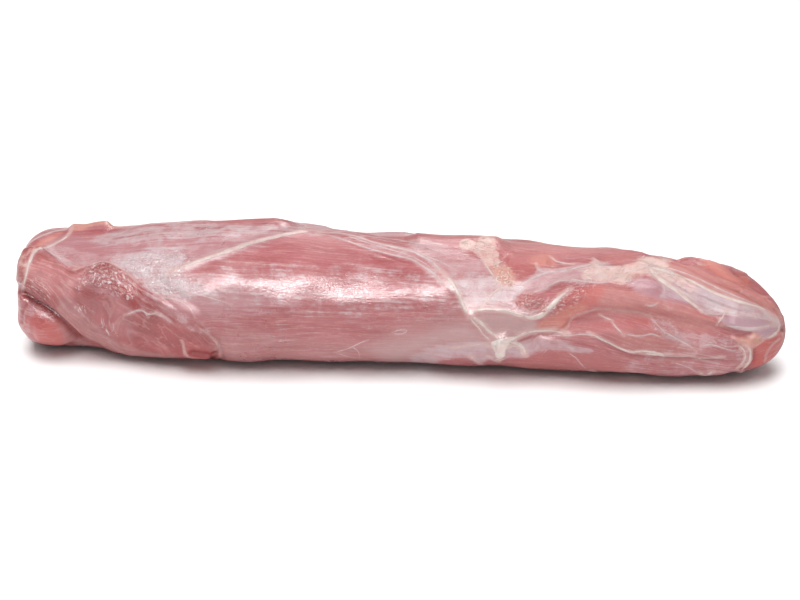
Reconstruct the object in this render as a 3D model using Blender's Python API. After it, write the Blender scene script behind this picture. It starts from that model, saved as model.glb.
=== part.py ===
# Raw pork tenderloin, whole and trimmed, lying on its flattened side.
# It is one piece of meat, so it is one solid: the long muscle, with the head flap folded over
# its blunt end, the muscle strands and the thin wrap of the tail, the sinew and the fat fused on.
# Metres, +Z up, +X from the blunt head to the tail, and -Y is the side with the folded flap.
# The origin is on the floor under the middle of the meat.
#
# A place on the skin is written as (mm from the head end, degrees from the top line, turning
# down the front), so 0 is the top, 90 the front, 180 the underside and -90 the back.

import math

import bmesh
import bpy
from mathutils import Matrix, Vector

MM = 0.001
DEG = math.pi / 180
MM_PER_DEGREE = 0.43     # a degree of turn, measured along the skin

LENGTH = 290 * MM
HEAD_CAP = 11 * MM       # how much of the length the blunt head takes to round off
HEAD_BLUNTNESS = 3.0     # 2 is a round end, more is flatter
TAIL_CAP = 25 * MM
TAIL_BLUNTNESS = 2.0
SINK = 1.3 * MM          # how deep the round section would reach below the floor, which flattens it
SQUARENESS = 2.25        # 2 is an elliptic section, more is boxier
FLOOR_GAP = 0.4 * MM     # what is fused on stays this far above the floor

RINGS = 78
CAP_RINGS = 8
COLUMNS = 42
FRONT_CROWDING = 0.34    # columns stand closer on the side that carries the detail
FRONT_MIDDLE = 66 * DEG
SHARP_ANGLE = 32 * DEG   # edges sharper than this are drawn crisp

# Cross sections along the meat: share of the length, half width, height and how far the
# middle line bends towards the back, in mm.
SECTIONS = [
    (0.00, 23.0, 42.5, 10.5),
    (0.06, 23.0, 41.5, 11.0),
    (0.13, 24.5, 43.8, 9.5),
    (0.20, 27.0, 47.4, 6.5),
    (0.27, 29.0, 49.6, 4.5),
    (0.34, 29.0, 50.2, 4.5),
    (0.42, 27.5, 47.5, 5.0),
    (0.52, 27.0, 46.5, 5.5),
    (0.62, 27.0, 45.8, 4.5),
    (0.72, 25.8, 44.0, 3.0),
    (0.80, 25.0, 42.6, 2.2),
    (0.88, 23.0, 39.2, 2.4),
    (0.94, 21.0, 36.8, 1.8),
    (1.00, 20.5, 34.6, -0.8),
]

# Soft swellings of the muscle: place, reach along, reach around in degrees, rise in mm.
SWELLINGS = [
    ((122, 62), 62, 58, 0.7),
    ((30, -40), 40, 50, 0.9),
    ((210, -70), 60, 60, 1.0),
    ((95, -95), 70, 45, 1.2),
    ((160, -20), 45, 30, -0.9),
]

# Long soft ridges and seams between muscles: middle line, half width and rise in mm.
RIDGES = [
    ([(8, -52), (70, -66), (130, -60), (190, -66), (250, -58), (282, -40)], 9.0, 1.5),
    ([(30, -100), (110, -92), (170, -98), (230, -90), (280, -70)], 4.0, -1.4),
    ([(60, -128), (110, -122), (170, -128), (230, -120), (275, -104)], 8.0, 1.2),
    ([(100, -30), (140, -24), (185, -28), (220, -30), (256, -34)], 3.5, -1.1),
    ([(70, 28), (84, 18), (98, 2), (108, -12), (120, -24), (134, -16), (144, -4), (158, 22)], 3.6, -0.7),
    ([(2, 64), (9, 78), (15, 90), (20, 99), (25, 111), (32, 128)], 3.0, -2.0),
    ([(190, 92), (206, 81), (225, 70), (240, 64), (254, 72), (272, 80)], 3.2, -1.5),
    ([(226, 8), (240, 24), (254, 42), (268, 58), (282, 70)], 2.6, -1.0),
]

# Slight unevenness all over: size in mm, then waves along and around with their offset.
UNEVENNESS = [
    (0.32, 7, 3, 0.4),
    (0.26, 11, -4, 2.1),
    (0.20, 17, 6, 4.0),
    (0.16, 5, 9, 1.2),
]

# The flap of the head muscle folded over the blunt end: its upper and lower edges.
FLAP_TOP = [(0.4, 28), (6, 21), (11, 18), (16, 27), (22, 36), (28, 39), (35, 35), (42, 42),
            (50, 57), (58, 67), (67, 74), (73, 80), (77, 88), (81, 104)]
FLAP_LOW = [(0.4, 62), (5, 67), (9, 72), (15, 83), (20, 92), (25, 104), (32, 122), (42, 142),
            (56, 150), (70, 146), (77, 134), (81, 116)]
FLAP_RISE = 2.6

# The thin wrap of tail strands, which ends short of the tip with a blunt edge.
WRAP_TOP = [(206, 84), (225, 74), (245, 69), (262, 71), (273, 74)]
WRAP_LOW = [(206, 108), (225, 130), (245, 142), (262, 140), (273, 124)]
WRAP_RISE = 1.8

SLAB_DEPTH = 2.6 * MM    # how deep a flap or a strand is sunk in the body it is fused to
STRAND_STEP = 6.0        # mm between two rings of a strand
EDGE_SINK = 0.5          # its edges dip this far under the skin, so the join is a clean line

# Strands on the skin: name, middle line, half width at both ends and the middle, rise, in mm.
STRANDS = [
    ("outer_tail", [(246, -24), (262, -8), (273, 13), (281, 31), (286, 58)], (1.6, 4.2, 2.2), 1.5),
    ("upper_tail", [(224, -20), (242, -5), (257, 12), (270, 33), (282, 54)], (1.2, 3.6, 1.8), 1.2),
    ("middle_tail", [(230, 2), (245, 15), (257, 30), (269, 44), (281, 61)], (1.0, 2.8, 1.5), 1.1),
    ("white_tail", [(199, 42), (216, 27), (234, 14), (248, 25), (261, 44), (274, 57), (285, 70)],
     (1.5, 4.4, 2.2), 1.0),
    ("film_tail", [(248, 60), (262, 63), (273, 67), (286, 78)], (1.6, 4.2, 2.4), 1.4),
    ("front_tail", [(198, 70), (210, 54), (224, 47), (238, 50), (252, 61), (266, 72)],
     (1.8, 6.4, 2.0), 1.3),
    ("tip_fold", [(270, 74), (274, 86), (275, 102), (271, 120)], (0.9, 2.4, 0.9), 1.6),
    ("top_film", [(222, -2), (214, 14), (206, 30), (200, 44), (196, 58), (190, 74)],
     (1.4, 3.4, 1.4), 0.9),
    ("top_streak", [(36, -4), (60, -10), (86, -16), (108, -22)], (1.0, 3.4, 1.0), 0.6),
    ("sinew", [(58, 52), (66, 44), (74, 37), (84, 29), (98, 12), (108, -3), (119, -14),
               (132, -10), (142, 4), (154, 26), (162, 42), (168, 58), (172, 72), (174, 80),
               (180, 89), (188, 97)], (0.8, 1.6, 0.9), 0.55),
    ("node_right", [(173, 77), (180, 72), (188, 70), (196, 75), (203, 70), (207, 58)],
     (0.8, 1.9, 0.8), 0.8),
    ("low_edge", [(138, 116), (150, 112), (166, 117), (182, 112), (198, 106), (214, 100)],
     (0.8, 2.0, 0.8), 0.6),
    ("star_up", [(175, 98), (185, 95), (196, 88)], (0.6, 1.4, 0.6), 0.9),
    ("star_down", [(183, 106), (185, 97), (189, 86)], (0.6, 1.3, 0.6), 0.9),
]

# Lumps: name, place, half length, half width and half height in mm, how far the middle is sunk.
LUMPS = [
    ("fold_lobe", (14.0, 105), (13.0, 10.5, 9.0), 5.4),
    ("top_fat", (29.5, -20), (9.0, 4.5, 2.6), 1.2),
    ("star_fat", (185, 95.5), (4.0, 2.8, 2.0), 0.8),
    ("flap_tag", (70, 138), (5.0, 3.0, 2.4), 0.6),
    ("low_fat", (148, 113), (3.6, 2.6, 1.8), 0.7),
    ("tail_tag", (263, 136), (3.6, 2.4, 2.0), 0.4),
]


def clear_scene():
    for obj in list(bpy.data.objects):
        bpy.data.objects.remove(obj, do_unlink=True)


def read_curve(rows, at):
    """Reads a table at any value of its first column, on a Catmull-Rom curve."""
    last = len(rows) - 1
    i = 0
    while i < last - 1 and rows[i + 1][0] < at:
        i += 1
    before, here, after, beyond = (rows[min(max(k, 0), last)] for k in (i - 1, i, i + 1, i + 2))
    t = (at - here[0]) / (after[0] - here[0])
    values = []
    for p0, p1, p2, p3 in list(zip(before, here, after, beyond))[1:]:
        bend = 2 * p0 - 5 * p1 + 4 * p2 - p3
        twist = 3 * p1 - p0 - 3 * p2 + p3
        values.append(0.5 * (2 * p1 + (p2 - p0) * t + bend * t ** 2 + twist * t ** 3))
    return values


def end_rounding(along):
    """1 in the middle of the meat, falling to 0 at both ends."""
    if along < HEAD_CAP:
        return (1 - (1 - along / HEAD_CAP) ** HEAD_BLUNTNESS) ** (1 / HEAD_BLUNTNESS)
    if along > LENGTH - TAIL_CAP:
        return (1 - (1 - (LENGTH - along) / TAIL_CAP) ** TAIL_BLUNTNESS) ** (1 / TAIL_BLUNTNESS)
    return 1.0


def path_turn(rows, at):
    """The turn in degrees of a line at a place along the meat, held beyond its ends."""
    return read_curve(rows, min(max(at, rows[0][0]), rows[-1][0]))[0]


def relief(along, turn):
    """How far the skin stands out or in, in mm, from its plain cross section."""
    at, around = along / MM, turn / DEG
    rise = 0.0
    for (middle, beside), reach, spread, height in SWELLINGS:
        a = (at - middle) / reach
        t = ((around - beside + 180) % 360 - 180) / spread
        rise += height * math.exp(-1.5 * (a * a + t * t))
    for line, half_width, height in RIDGES:
        beyond = max(line[0][0] - at, at - line[-1][0], 0.0)
        if beyond < 3 * half_width:
            sideways = ((around - path_turn(line, at) + 180) % 360 - 180) * MM_PER_DEGREE
            rise += height * math.exp(-(sideways ** 2 + beyond ** 2) / half_width ** 2)
    for size, waves, turns, offset in UNEVENNESS:
        rise += size * math.sin(2 * math.pi * waves * along / LENGTH + turns * turn + offset)
    return rise


def signed_power(value, power):
    return math.copysign(abs(value) ** power, value)


def skin_point(along, turn, lift=0.0, floor=0.0):
    """A point of the skin. along is metres from the head end, turn is radians from the top
    down the front, and lift is how far the point stands proud of the skin."""
    half_width, height, back = (v * MM for v in read_curve(SECTIONS, along / LENGTH))
    half_height = (height + SINK) / 2
    scale = end_rounding(along)
    lift += relief(along, turn) * MM * scale
    side = signed_power(math.sin(turn), 2 / SQUARENESS)
    up = signed_power(math.cos(turn), 2 / SQUARENESS)
    y = back - (half_width * scale + lift) * side
    z = height - half_height + (half_height * scale + lift) * up
    return Vector((along - LENGTH / 2, y, max(z, floor)))


def new_object(name, mesh, collection):
    bmesh.ops.recalc_face_normals(mesh, faces=mesh.faces)
    data = bpy.data.meshes.new(name)
    mesh.to_mesh(data)
    mesh.free()
    obj = bpy.data.objects.new(name, data)
    collection.objects.link(obj)
    return obj


def bridge(mesh, rings):
    """Quads between closed rings of equal length, and a fan over each end."""
    count = len(rings[0])
    for a, b in zip(rings, rings[1:]):
        for j in range(count):
            k = (j + 1) % count
            mesh.faces.new((a[j], b[j], b[k], a[k]))


def cap(mesh, ring, tip):
    for j in range(len(ring)):
        mesh.faces.new((ring[j], ring[(j + 1) % len(ring)], tip))


def ring_places():
    """Distances from the head of every ring, crowded where the ends round off."""
    angles = [math.pi / 2 * (i + 0.6) / CAP_RINGS for i in range(CAP_RINGS)]
    head = [HEAD_CAP * (1 - math.cos(a)) for a in angles]
    tail = [LENGTH - TAIL_CAP * (1 - math.cos(a)) for a in reversed(angles)]
    between = RINGS - 2 * CAP_RINGS
    straight = LENGTH - HEAD_CAP - TAIL_CAP
    middle = [HEAD_CAP + straight * i / (between - 1) for i in range(between)]
    return head + middle + tail


def column_turns():
    steps = [2 * math.pi * j / COLUMNS for j in range(COLUMNS)]
    return [FRONT_MIDDLE + t - FRONT_CROWDING * math.sin(t) for t in steps]


def muscle(collection):
    """The long muscle: rings lofted from head to tail."""
    mesh = bmesh.new()
    turns = column_turns()
    rings = [[mesh.verts.new(skin_point(along, turn)) for turn in turns] for along in ring_places()]
    bridge(mesh, rings)
    cap(mesh, rings[0], mesh.verts.new(skin_point(0.0, 0.0)))
    cap(mesh, rings[-1], mesh.verts.new(skin_point(LENGTH, 0.0)))
    return new_object("tenderloin", mesh, collection)


def crowded(count):
    """Shares from 0 to 1 that stand closer at both ends."""
    return [0.5 - 0.5 * math.cos(math.pi * i / (count - 1)) for i in range(count)]


def raised(rim, rise):
    """Lift in metres of a fused on layer: full inside, dipping under the skin at its rim."""
    return ((rise + EDGE_SINK) * math.sin(math.pi / 2 * max(rim, 0.0)) ** 0.7 - EDGE_SINK) * MM


def layer(name, outer_rings, collection):
    """A closed layer from rows of (place, turn, lift), its underside sunk in the body."""
    mesh = bmesh.new()
    rings = []
    for row in outer_rings:
        outer = [skin_point(along, turn, lift, FLOOR_GAP) for along, turn, lift in row]
        inner = [skin_point(along, turn, -SLAB_DEPTH, FLOOR_GAP + SLAB_DEPTH)
                 for along, turn, lift in row[::-1]]
        rings.append([mesh.verts.new(point) for point in outer + inner])
    bridge(mesh, rings)
    for ring in (rings[0], rings[-1]):
        for j in range(len(ring) // 2 - 1):
            mesh.faces.new((ring[j], ring[j + 1], ring[-2 - j], ring[-1 - j]))
    return new_object(name, mesh, collection)


def flap(name, top, low, rise, collection, stretch=24, across=12, start_reach=0.0):
    """A flap of even thickness between two edge lines. start_reach is the share of its length
    over which it rises out of the body at its start, 0 for a blunt start."""
    start, end = top[0][0], top[-1][0]
    rows = []
    for share in crowded(stretch):
        at = start + (end - start) * share
        upper, lower = read_curve(top, at)[0], read_curve(low, at)[0]
        rim = min(1.0, (1 - share) * (end - start) / 6)
        if start_reach:
            rim = min(rim, share / start_reach)
        row = []
        for q in crowded(across):
            lift = raised(min(rim, 9 * q * (1 - q)), rise)
            row.append((at * MM, (upper + (lower - upper) * q) * DEG, lift))
        rows.append(row)
    return layer(name, rows, collection)


def strand(name, line, widths, rise, collection, across=6):
    """A band of muscle, sinew or fat that follows a line over the skin and thins out at
    both ends. The line may run any way, so it is read by its own length."""
    flat = [(at, turn * MM_PER_DEGREE) for at, turn in line]
    runs = [0.0]
    for here, there in zip(flat, flat[1:]):
        runs.append(runs[-1] + math.dist(here, there))
    rows = [(run, *place) for run, place in zip(runs, flat)]
    steps = max(7, round(runs[-1] / STRAND_STEP))
    result = []
    for i in range(steps + 1):
        share = i / steps
        here = Vector(read_curve(rows, runs[-1] * share))
        ahead = Vector(read_curve(rows, min(runs[-1] * share + 0.5, runs[-1])))
        behind = Vector(read_curve(rows, max(runs[-1] * share - 0.5, 0.0)))
        side = (ahead - behind).normalized().orthogonal()
        end_width = widths[0] if share < 0.5 else widths[2]
        half_width = end_width + (widths[1] - end_width) * math.sin(math.pi * share) ** 0.8
        row = []
        for j in range(across):
            u = -math.cos(math.pi * j / (across - 1))
            at, beside = here + side * u * half_width
            lift = raised(min(1 - u * u, 6 * share, 6 * (1 - share)), rise)
            at = min(max(at, 0.3), LENGTH / MM - 0.3)
            row.append((at * MM, beside / MM_PER_DEGREE * DEG, lift))
        result.append(row)
    return layer(name, result, collection)


def lump(name, place, size, sunk, collection):
    """An ellipsoid whose flat lies on the skin, such as a lobe or a knob of fat."""
    along, turn = place[0] * MM, place[1] * DEG
    middle = skin_point(along, turn, -sunk * MM)
    outward = (skin_point(along, turn, (1 - sunk) * MM) - middle).normalized()
    ahead = (skin_point(along + MM, turn) - skin_point(along, turn)).normalized()
    across = ahead.cross(outward).normalized()
    mesh = bmesh.new()
    bmesh.ops.create_uvsphere(mesh, u_segments=18, v_segments=11, radius=1.0)
    for vert in mesh.verts:
        x, y, z = vert.co
        point = middle + (ahead * x * size[0] + across * y * size[1] + outward * z * size[2]) * MM
        point.z = max(point.z, FLOOR_GAP)
        vert.co = point
    return new_object(name, mesh, collection)


def fuse(body, additions):
    """Joins everything in the collection to the body as one solid."""
    union = body.modifiers.new("fuse", "BOOLEAN")
    union.operation = "UNION"
    union.operand_type = "COLLECTION"
    union.collection = additions
    union.solver = "EXACT"
    graph = bpy.context.evaluated_depsgraph_get()
    fused = bpy.data.meshes.new_from_object(body.evaluated_get(graph))
    body.modifiers.clear()
    body.data = fused
    for obj in list(additions.objects):
        bpy.data.objects.remove(obj, do_unlink=True)
    bpy.data.collections.remove(additions)


def raw_pork():
    material = bpy.data.materials.new("raw_pork")
    material.use_nodes = True
    shader = material.node_tree.nodes["Principled BSDF"]
    shader.inputs["Base Color"].default_value = (0.55, 0.23, 0.24, 1)
    shader.inputs["Roughness"].default_value = 0.35
    shader.inputs["Metallic"].default_value = 0.0
    return material


def stand_on_origin(body):
    """Moves the mesh so that its box stands on the floor with its middle at the origin."""
    points = [vert.co for vert in body.data.vertices]
    low = Vector([min(p[i] for p in points) for i in range(3)])
    high = Vector([max(p[i] for p in points) for i in range(3)])
    middle = (low + high) / 2
    body.data.transform(Matrix.Translation((-middle.x, -middle.y, -low.z)))


def main():
    clear_scene()
    scene = bpy.context.scene.collection
    body = muscle(scene)
    additions = bpy.data.collections.new("additions")
    scene.children.link(additions)
    flap("head_flap", FLAP_TOP, FLAP_LOW, FLAP_RISE, additions)
    flap("tail_wrap", WRAP_TOP, WRAP_LOW, WRAP_RISE, additions, 16, 9, 0.35)
    for name, line, widths, rise in STRANDS:
        strand(name, line, widths, rise, additions)
    for name, place, size, sunk in LUMPS:
        lump(name, place, size, sunk, additions)
    fuse(body, additions)
    stand_on_origin(body)
    body.data.materials.clear()
    body.data.materials.append(raw_pork())
    body.data.shade_smooth()
    body.data.set_sharp_from_angle(angle=SHARP_ANGLE)


main()
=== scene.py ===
# Raw pork tenderloin: the looks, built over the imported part
import math

import bpy
import numpy as np
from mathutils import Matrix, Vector, noise
from mathutils.bvhtree import BVHTree


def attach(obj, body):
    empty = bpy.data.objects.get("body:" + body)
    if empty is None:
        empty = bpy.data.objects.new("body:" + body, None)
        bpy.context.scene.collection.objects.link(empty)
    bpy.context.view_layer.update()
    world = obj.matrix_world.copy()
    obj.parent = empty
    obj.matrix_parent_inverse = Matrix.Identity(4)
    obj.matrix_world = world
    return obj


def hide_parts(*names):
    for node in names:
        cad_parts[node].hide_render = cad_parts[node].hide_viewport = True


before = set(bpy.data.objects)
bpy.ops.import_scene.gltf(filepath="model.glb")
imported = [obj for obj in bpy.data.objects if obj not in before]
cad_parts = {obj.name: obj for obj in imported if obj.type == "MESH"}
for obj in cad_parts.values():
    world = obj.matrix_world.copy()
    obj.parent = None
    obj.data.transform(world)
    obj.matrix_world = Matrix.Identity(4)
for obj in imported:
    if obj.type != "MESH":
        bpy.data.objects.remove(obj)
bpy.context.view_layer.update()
mm = 0.001
meatLength = 290.0                     # mm, the head end is at x = -145
print("frame loaded:", sorted(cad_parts))


# Camera, at the photo's angle. Pixels below are places in its 800 x 600 frame.
shot = {
    "azimuth": 4.0, "elevation": 24.0,  # degrees
    "lens": 85.0, "sensor": 36.0,       # mm
    "distance": 0.7106,
    "target": (0.0012, -0.0038, 0.0240), "clip": 0.01,  # m
    "width": 800, "height": 600,
}


def addObject(name, data):
    added = bpy.data.objects.new(name, data)
    bpy.context.scene.collection.objects.link(added)
    return added


def wayTo(azimuth, elevation):          # degrees, azimuth 0 is the front
    az, el = math.radians(azimuth), math.radians(elevation)
    return Vector((math.sin(az) * math.cos(el), -math.cos(az) * math.cos(el), math.sin(el)))


def shotAxes():
    az = math.radians(shot["azimuth"])
    back = wayTo(shot["azimuth"], shot["elevation"])
    right = Vector((math.cos(az), math.sin(az), 0))
    return Vector(shot["target"]) + back * shot["distance"], right, back.cross(right), -back


def addCamera():
    place, _, _, ahead = shotAxes()
    camera = addObject("shotCamera", bpy.data.cameras.new("shotCamera"))
    camera.data.lens = shot["lens"]
    camera.data.sensor_width = shot["sensor"]
    camera.data.clip_start = shot["clip"]
    camera.location = place
    camera.rotation_euler = ahead.to_track_quat("-Z", "Y").to_euler()
    bpy.context.scene.camera = camera


# Places on the meat are (run, turn): mm from the head end along a straight spine, and degrees
# from the top down the front. Past the spine's ends the run goes on over the rounded ends.
spine = {
    "start": 14.0, "stop": 268.0,       # mm from the head end
    "startSide": 5.0, "stopSide": -3.0,  # where the spine runs in Y, mm
    "height": 22.0,
    "startReach": 23.0, "stopReach": 21.0,  # mm of run for each radian round an end
    "seam": -178.0,                     # degrees, the turn where counting starts, underneath
}
startPole = spine["start"] - math.pi / 2 * spine["startReach"]
stopPole = spine["stop"] + math.pi / 2 * spine["stopReach"]


def spineAt(run):
    x = np.clip(run, spine["start"], spine["stop"])
    share = (x - spine["start"]) / (spine["stop"] - spine["start"])
    side = spine["startSide"] + (spine["stopSide"] - spine["startSide"]) * share
    return np.stack([x - meatLength / 2, side, np.full_like(x, spine["height"])], -1) * mm


def outwards(run, turn):
    over = np.where(run < spine["start"], (run - spine["start"]) / spine["startReach"],
                    np.maximum(run - spine["stop"], 0) / spine["stopReach"])
    turn = np.radians(turn)
    return np.stack([np.sin(over), -np.cos(over) * np.sin(turn), np.cos(over) * np.cos(turn)], -1)


def unrolled(points):
    points = np.asarray(points, float).reshape(-1, 3)
    x = points[:, 0] / mm + meatLength / 2
    middle = spineAt(x)
    away = (points - middle) / mm
    across = np.hypot(away[:, 1], away[:, 2])
    before = np.arctan2(np.maximum(spine["start"] - x, 0), across) * spine["startReach"]
    after = np.arctan2(np.maximum(x - spine["stop"], 0), across) * spine["stopReach"]
    run = np.clip(x, spine["start"], spine["stop"]) - before + after
    turn = np.degrees(np.arctan2(-away[:, 1], away[:, 2]))
    return run, (turn - spine["seam"]) % 360 + spine["seam"]


# The skin's base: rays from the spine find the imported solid, and its facets are softened.
skin = {
    "rings": 452, "columns": 212,
    "frontMiddle": 62.0, "frontCrowding": 0.36,
    "detailFrom": 168.0, "detailTo": 92.0,   # mm, the tail and the head carry most detail
    "detailBlend": 4.0, "detailCrowding": 1.45,
    "castFrom": 0.09,                   # m from the spine, outside the meat everywhere
    "missed": 0.7,                      # share of castFrom that a ray without a hit is given
    "softening": (2.0, 2.0),            # in grid steps, along and around
}


def castTree(obj):
    data = obj.data
    data.calc_loop_triangles()
    corners = [tuple(v.co) for v in data.vertices]
    return BVHTree.FromPolygons(corners, [tuple(t.vertices) for t in data.loop_triangles])


def ringRuns():
    fine = np.linspace(startPole, stopPole, 4000)
    headSide = 1 / (1 + np.exp((fine - skin["detailTo"]) / skin["detailBlend"]))
    tailSide = 1 / (1 + np.exp((skin["detailFrom"] - fine) / skin["detailBlend"]))
    total = np.cumsum(1 + (skin["detailCrowding"] - 1) * (headSide + tailSide))
    shares = (np.arange(skin["rings"]) + 0.5) / skin["rings"] * (total[-1] - total[0]) + total[0]
    return np.interp(shares, total, fine)


def columnTurns():
    t = np.arange(skin["columns"]) / skin["columns"] * 2 * np.pi
    turns = skin["frontMiddle"] + np.degrees(t - skin["frontCrowding"] * np.sin(t))
    return (turns - spine["seam"]) % 360 + spine["seam"]


def softened(field, along, around):
    for axis, sigma in ((0, along), (1, around)):
        reach = max(1, int(3 * sigma))
        weights = np.exp(-0.5 * (np.arange(-reach, reach + 1) / max(sigma, 1e-6)) ** 2)
        weights /= weights.sum()
        if axis == 0:
            padded = np.concatenate([field[:reach][::-1], field, field[-reach:][::-1]])
        else:
            padded = np.concatenate([field[:, -reach:], field, field[:, :reach]], 1)
        size = field.shape[axis]
        field = sum(w * np.take(padded, range(i, i + size), axis) for i, w in enumerate(weights))
    return field


def skinRadius(tree, middles, rays):
    radius = np.zeros(rays.shape[:2])
    reach = skin["castFrom"]
    for i in range(rays.shape[0]):
        for j in range(rays.shape[1]):
            ray = Vector(rays[i, j])
            start = Vector(middles[i, j]) + ray * reach
            hit = tree.ray_cast(start, -ray)
            radius[i, j] = reach - (hit[3] or reach * skin["missed"])
    return radius


def between(value, low, high):          # 0 at low, 1 at high
    return np.clip((value - low) / (high - low), 0, 1)


cadTree = castTree(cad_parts["tenderloin"])
runs, turns = np.meshgrid(ringRuns(), columnTurns(), indexing="ij")
middles = spineAt(runs)
rays = outwards(runs, turns)
radius = skinRadius(cadTree, middles, rays)
radius = softened(radius, *skin["softening"])
basePoints = middles + rays * radius[..., None]

# The meat curves under where it stands: how far in, less under the head, up to what height, mm
footForm = {"inward": 3.6, "headInward": 0.8, "headFrom": 105.0, "headTo": 75.0, "height": 10.0}
sideways = (basePoints - middles) * (1, 1, 0)
reachOut = np.maximum(np.linalg.norm(sideways, axis=2, keepdims=True), 1e-6)
low = np.clip(1 - basePoints[..., 2:] / (footForm["height"] * mm), 0, 1) ** 2
headward = between(runs[..., None], footForm["headFrom"], footForm["headTo"])
inward = footForm["inward"] + (footForm["headInward"] - footForm["inward"]) * headward
basePoints = basePoints - sideways / reachOut * low * np.minimum(inward * mm, reachOut / 2)
print("skin cast:", radius.shape, "radius mm", radius.min() / mm, radius.max() / mm)


# From a pixel to the skin. A pixel past the outline lands on the nearest skin.
def gridFaces(ringCount, columnCount):
    faces = []
    for i in range(ringCount - 1):
        for j in range(columnCount):
            k = (j + 1) % columnCount
            a, b = i * columnCount, (i + 1) * columnCount
            faces.append((a + k, b + k, b + j, a + j))
    return faces


skinFaces = gridFaces(*radius.shape)
skinTree = BVHTree.FromPolygons([tuple(p) for p in basePoints.reshape(-1, 3)], skinFaces)


def onSkin(pixel, tree=None):
    tree = tree or skinTree
    place, right, up, ahead = shotAxes()
    scale = shot["lens"] / shot["sensor"] * shot["width"]
    ray = ahead + right * ((pixel[0] - shot["width"] / 2) / scale)
    ray = (ray - up * ((pixel[1] - shot["height"] / 2) / scale)).normalized()
    hit, normal, _, _ = tree.ray_cast(place, ray)
    if hit is None:
        nearest = place + ray * (Vector((0, 0, spine["height"] * mm)) - place).dot(ray)
        for _ in range(6):              # slides along the ray to where it passes closest
            hit, normal, _, _ = tree.find_nearest(nearest)
            nearest = place + ray * (hit - place).dot(ray)
    return hit, normal


def atSkin(run, turn, tree=None):
    run, turn = np.array([float(run)]), np.array([float(turn)])
    middle, ray = Vector(spineAt(run)[0]), Vector(outwards(run, turn)[0])
    hit, normal, _, _ = (tree or skinTree).ray_cast(middle + ray * skin["castFrom"], -ray)
    return hit, normal


# How far apart the points of a smoothed line are: in pixels, in (run, turn) where the photo
# doesn't reach, and for an outline in either
lineSteps = {"pixels": 2.5, "under": 1.0, "outline": 2.5}


def smoothLine(points, step, closed=False):
    # A curve through all the points
    points = np.array(points, float)
    if closed:
        points = np.concatenate([points[-1:], points, points[:2]])
    else:
        points = np.concatenate([2 * points[:1] - points[1:2], points, 2 * points[-1:] - points[-2:-1]])
    result = []
    for p0, p1, p2, p3 in zip(points, points[1:], points[2:], points[3:]):
        count = max(1, int(np.linalg.norm(p2 - p1) / step))
        for t in np.arange(count) / count:
            result.append(0.5 * (2 * p1 + (p2 - p0) * t + (2 * p0 - 5 * p1 + 4 * p2 - p3) * t ** 2
                                 + (3 * p1 - p0 - 3 * p2 + p3) * t ** 3))
    if not closed:
        result.append(points[-2])
    return np.array(result)


def skinLine(pixels, step=lineSteps["pixels"], under=()):
    if pixels:
        return np.array([onSkin(p)[0] for p in smoothLine(pixels, step)])
    return np.array([atSkin(*place)[0] for place in smoothLine(under[0], lineSteps["under"])])


flatBase = basePoints.reshape(-1, 3)
flatRun, flatTurn = unrolled(flatBase)
arcPerDegree = 0.43                     # mm along the skin


def toLine(line, reach):
    # The skin points near the line, each one's distance from it in mm and its share of it
    low, high = line.min(0) - reach, line.max(0) + reach
    near = np.nonzero(((flatBase > low) & (flatBase < high)).all(1))[0]
    best = np.full(len(near), 1.0)
    share = np.zeros(len(near))
    points = flatBase[near]
    for i, (a, b) in enumerate(zip(line[:-1], line[1:])):
        along = b - a
        size = max(along @ along, 1e-12)
        t = np.clip((points - a) @ along / size, 0, 1)
        off = points - a - t[:, None] * along
        far = np.linalg.norm(off, axis=1)
        closer = far < best
        best[closer] = far[closer]
        share[closer] = (i + t[closer]) / (len(line) - 1)
    return near, best / mm, share


def inside(outline, run, turn):
    within = np.zeros(len(run), bool)
    x, y = run, turn * arcPerDegree
    px, py = outline[:, 0], outline[:, 1] * arcPerDegree
    for x0, y0, x1, y1 in zip(px, py, np.roll(px, -1), np.roll(py, -1)):
        if y0 == y1:
            continue
        crosses = (y0 > y) != (y1 > y)
        within ^= crosses & (x < (x1 - x0) * (y - y0) / (y1 - y0) + x0)
    return within


def patchField(pixels, soft, under=(), reach=9.0):
    # Signed distance to a patch's outline over its softness, positive inside.
    line, step = [], lineSteps["outline"]
    if pixels:
        line = [onSkin(p)[0] for p in smoothLine(pixels, step, not under)]
    if under:
        line += [atSkin(run, turn)[0] for run, turn in smoothLine(under, step, not pixels)]
    line = np.array(line)
    outline = np.stack(unrolled(line), -1)
    field = np.full(len(flatBase), -reach / soft)
    within = inside(outline, flatRun, flatTurn)
    field[within] = reach / soft
    near, far, _ = toLine(np.concatenate([line, line[:1]]), reach * mm)
    far = np.minimum(far, reach)
    field[near] = np.where(within[near], far, -far) / soft
    return field


print("skin coordinates ready")


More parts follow.
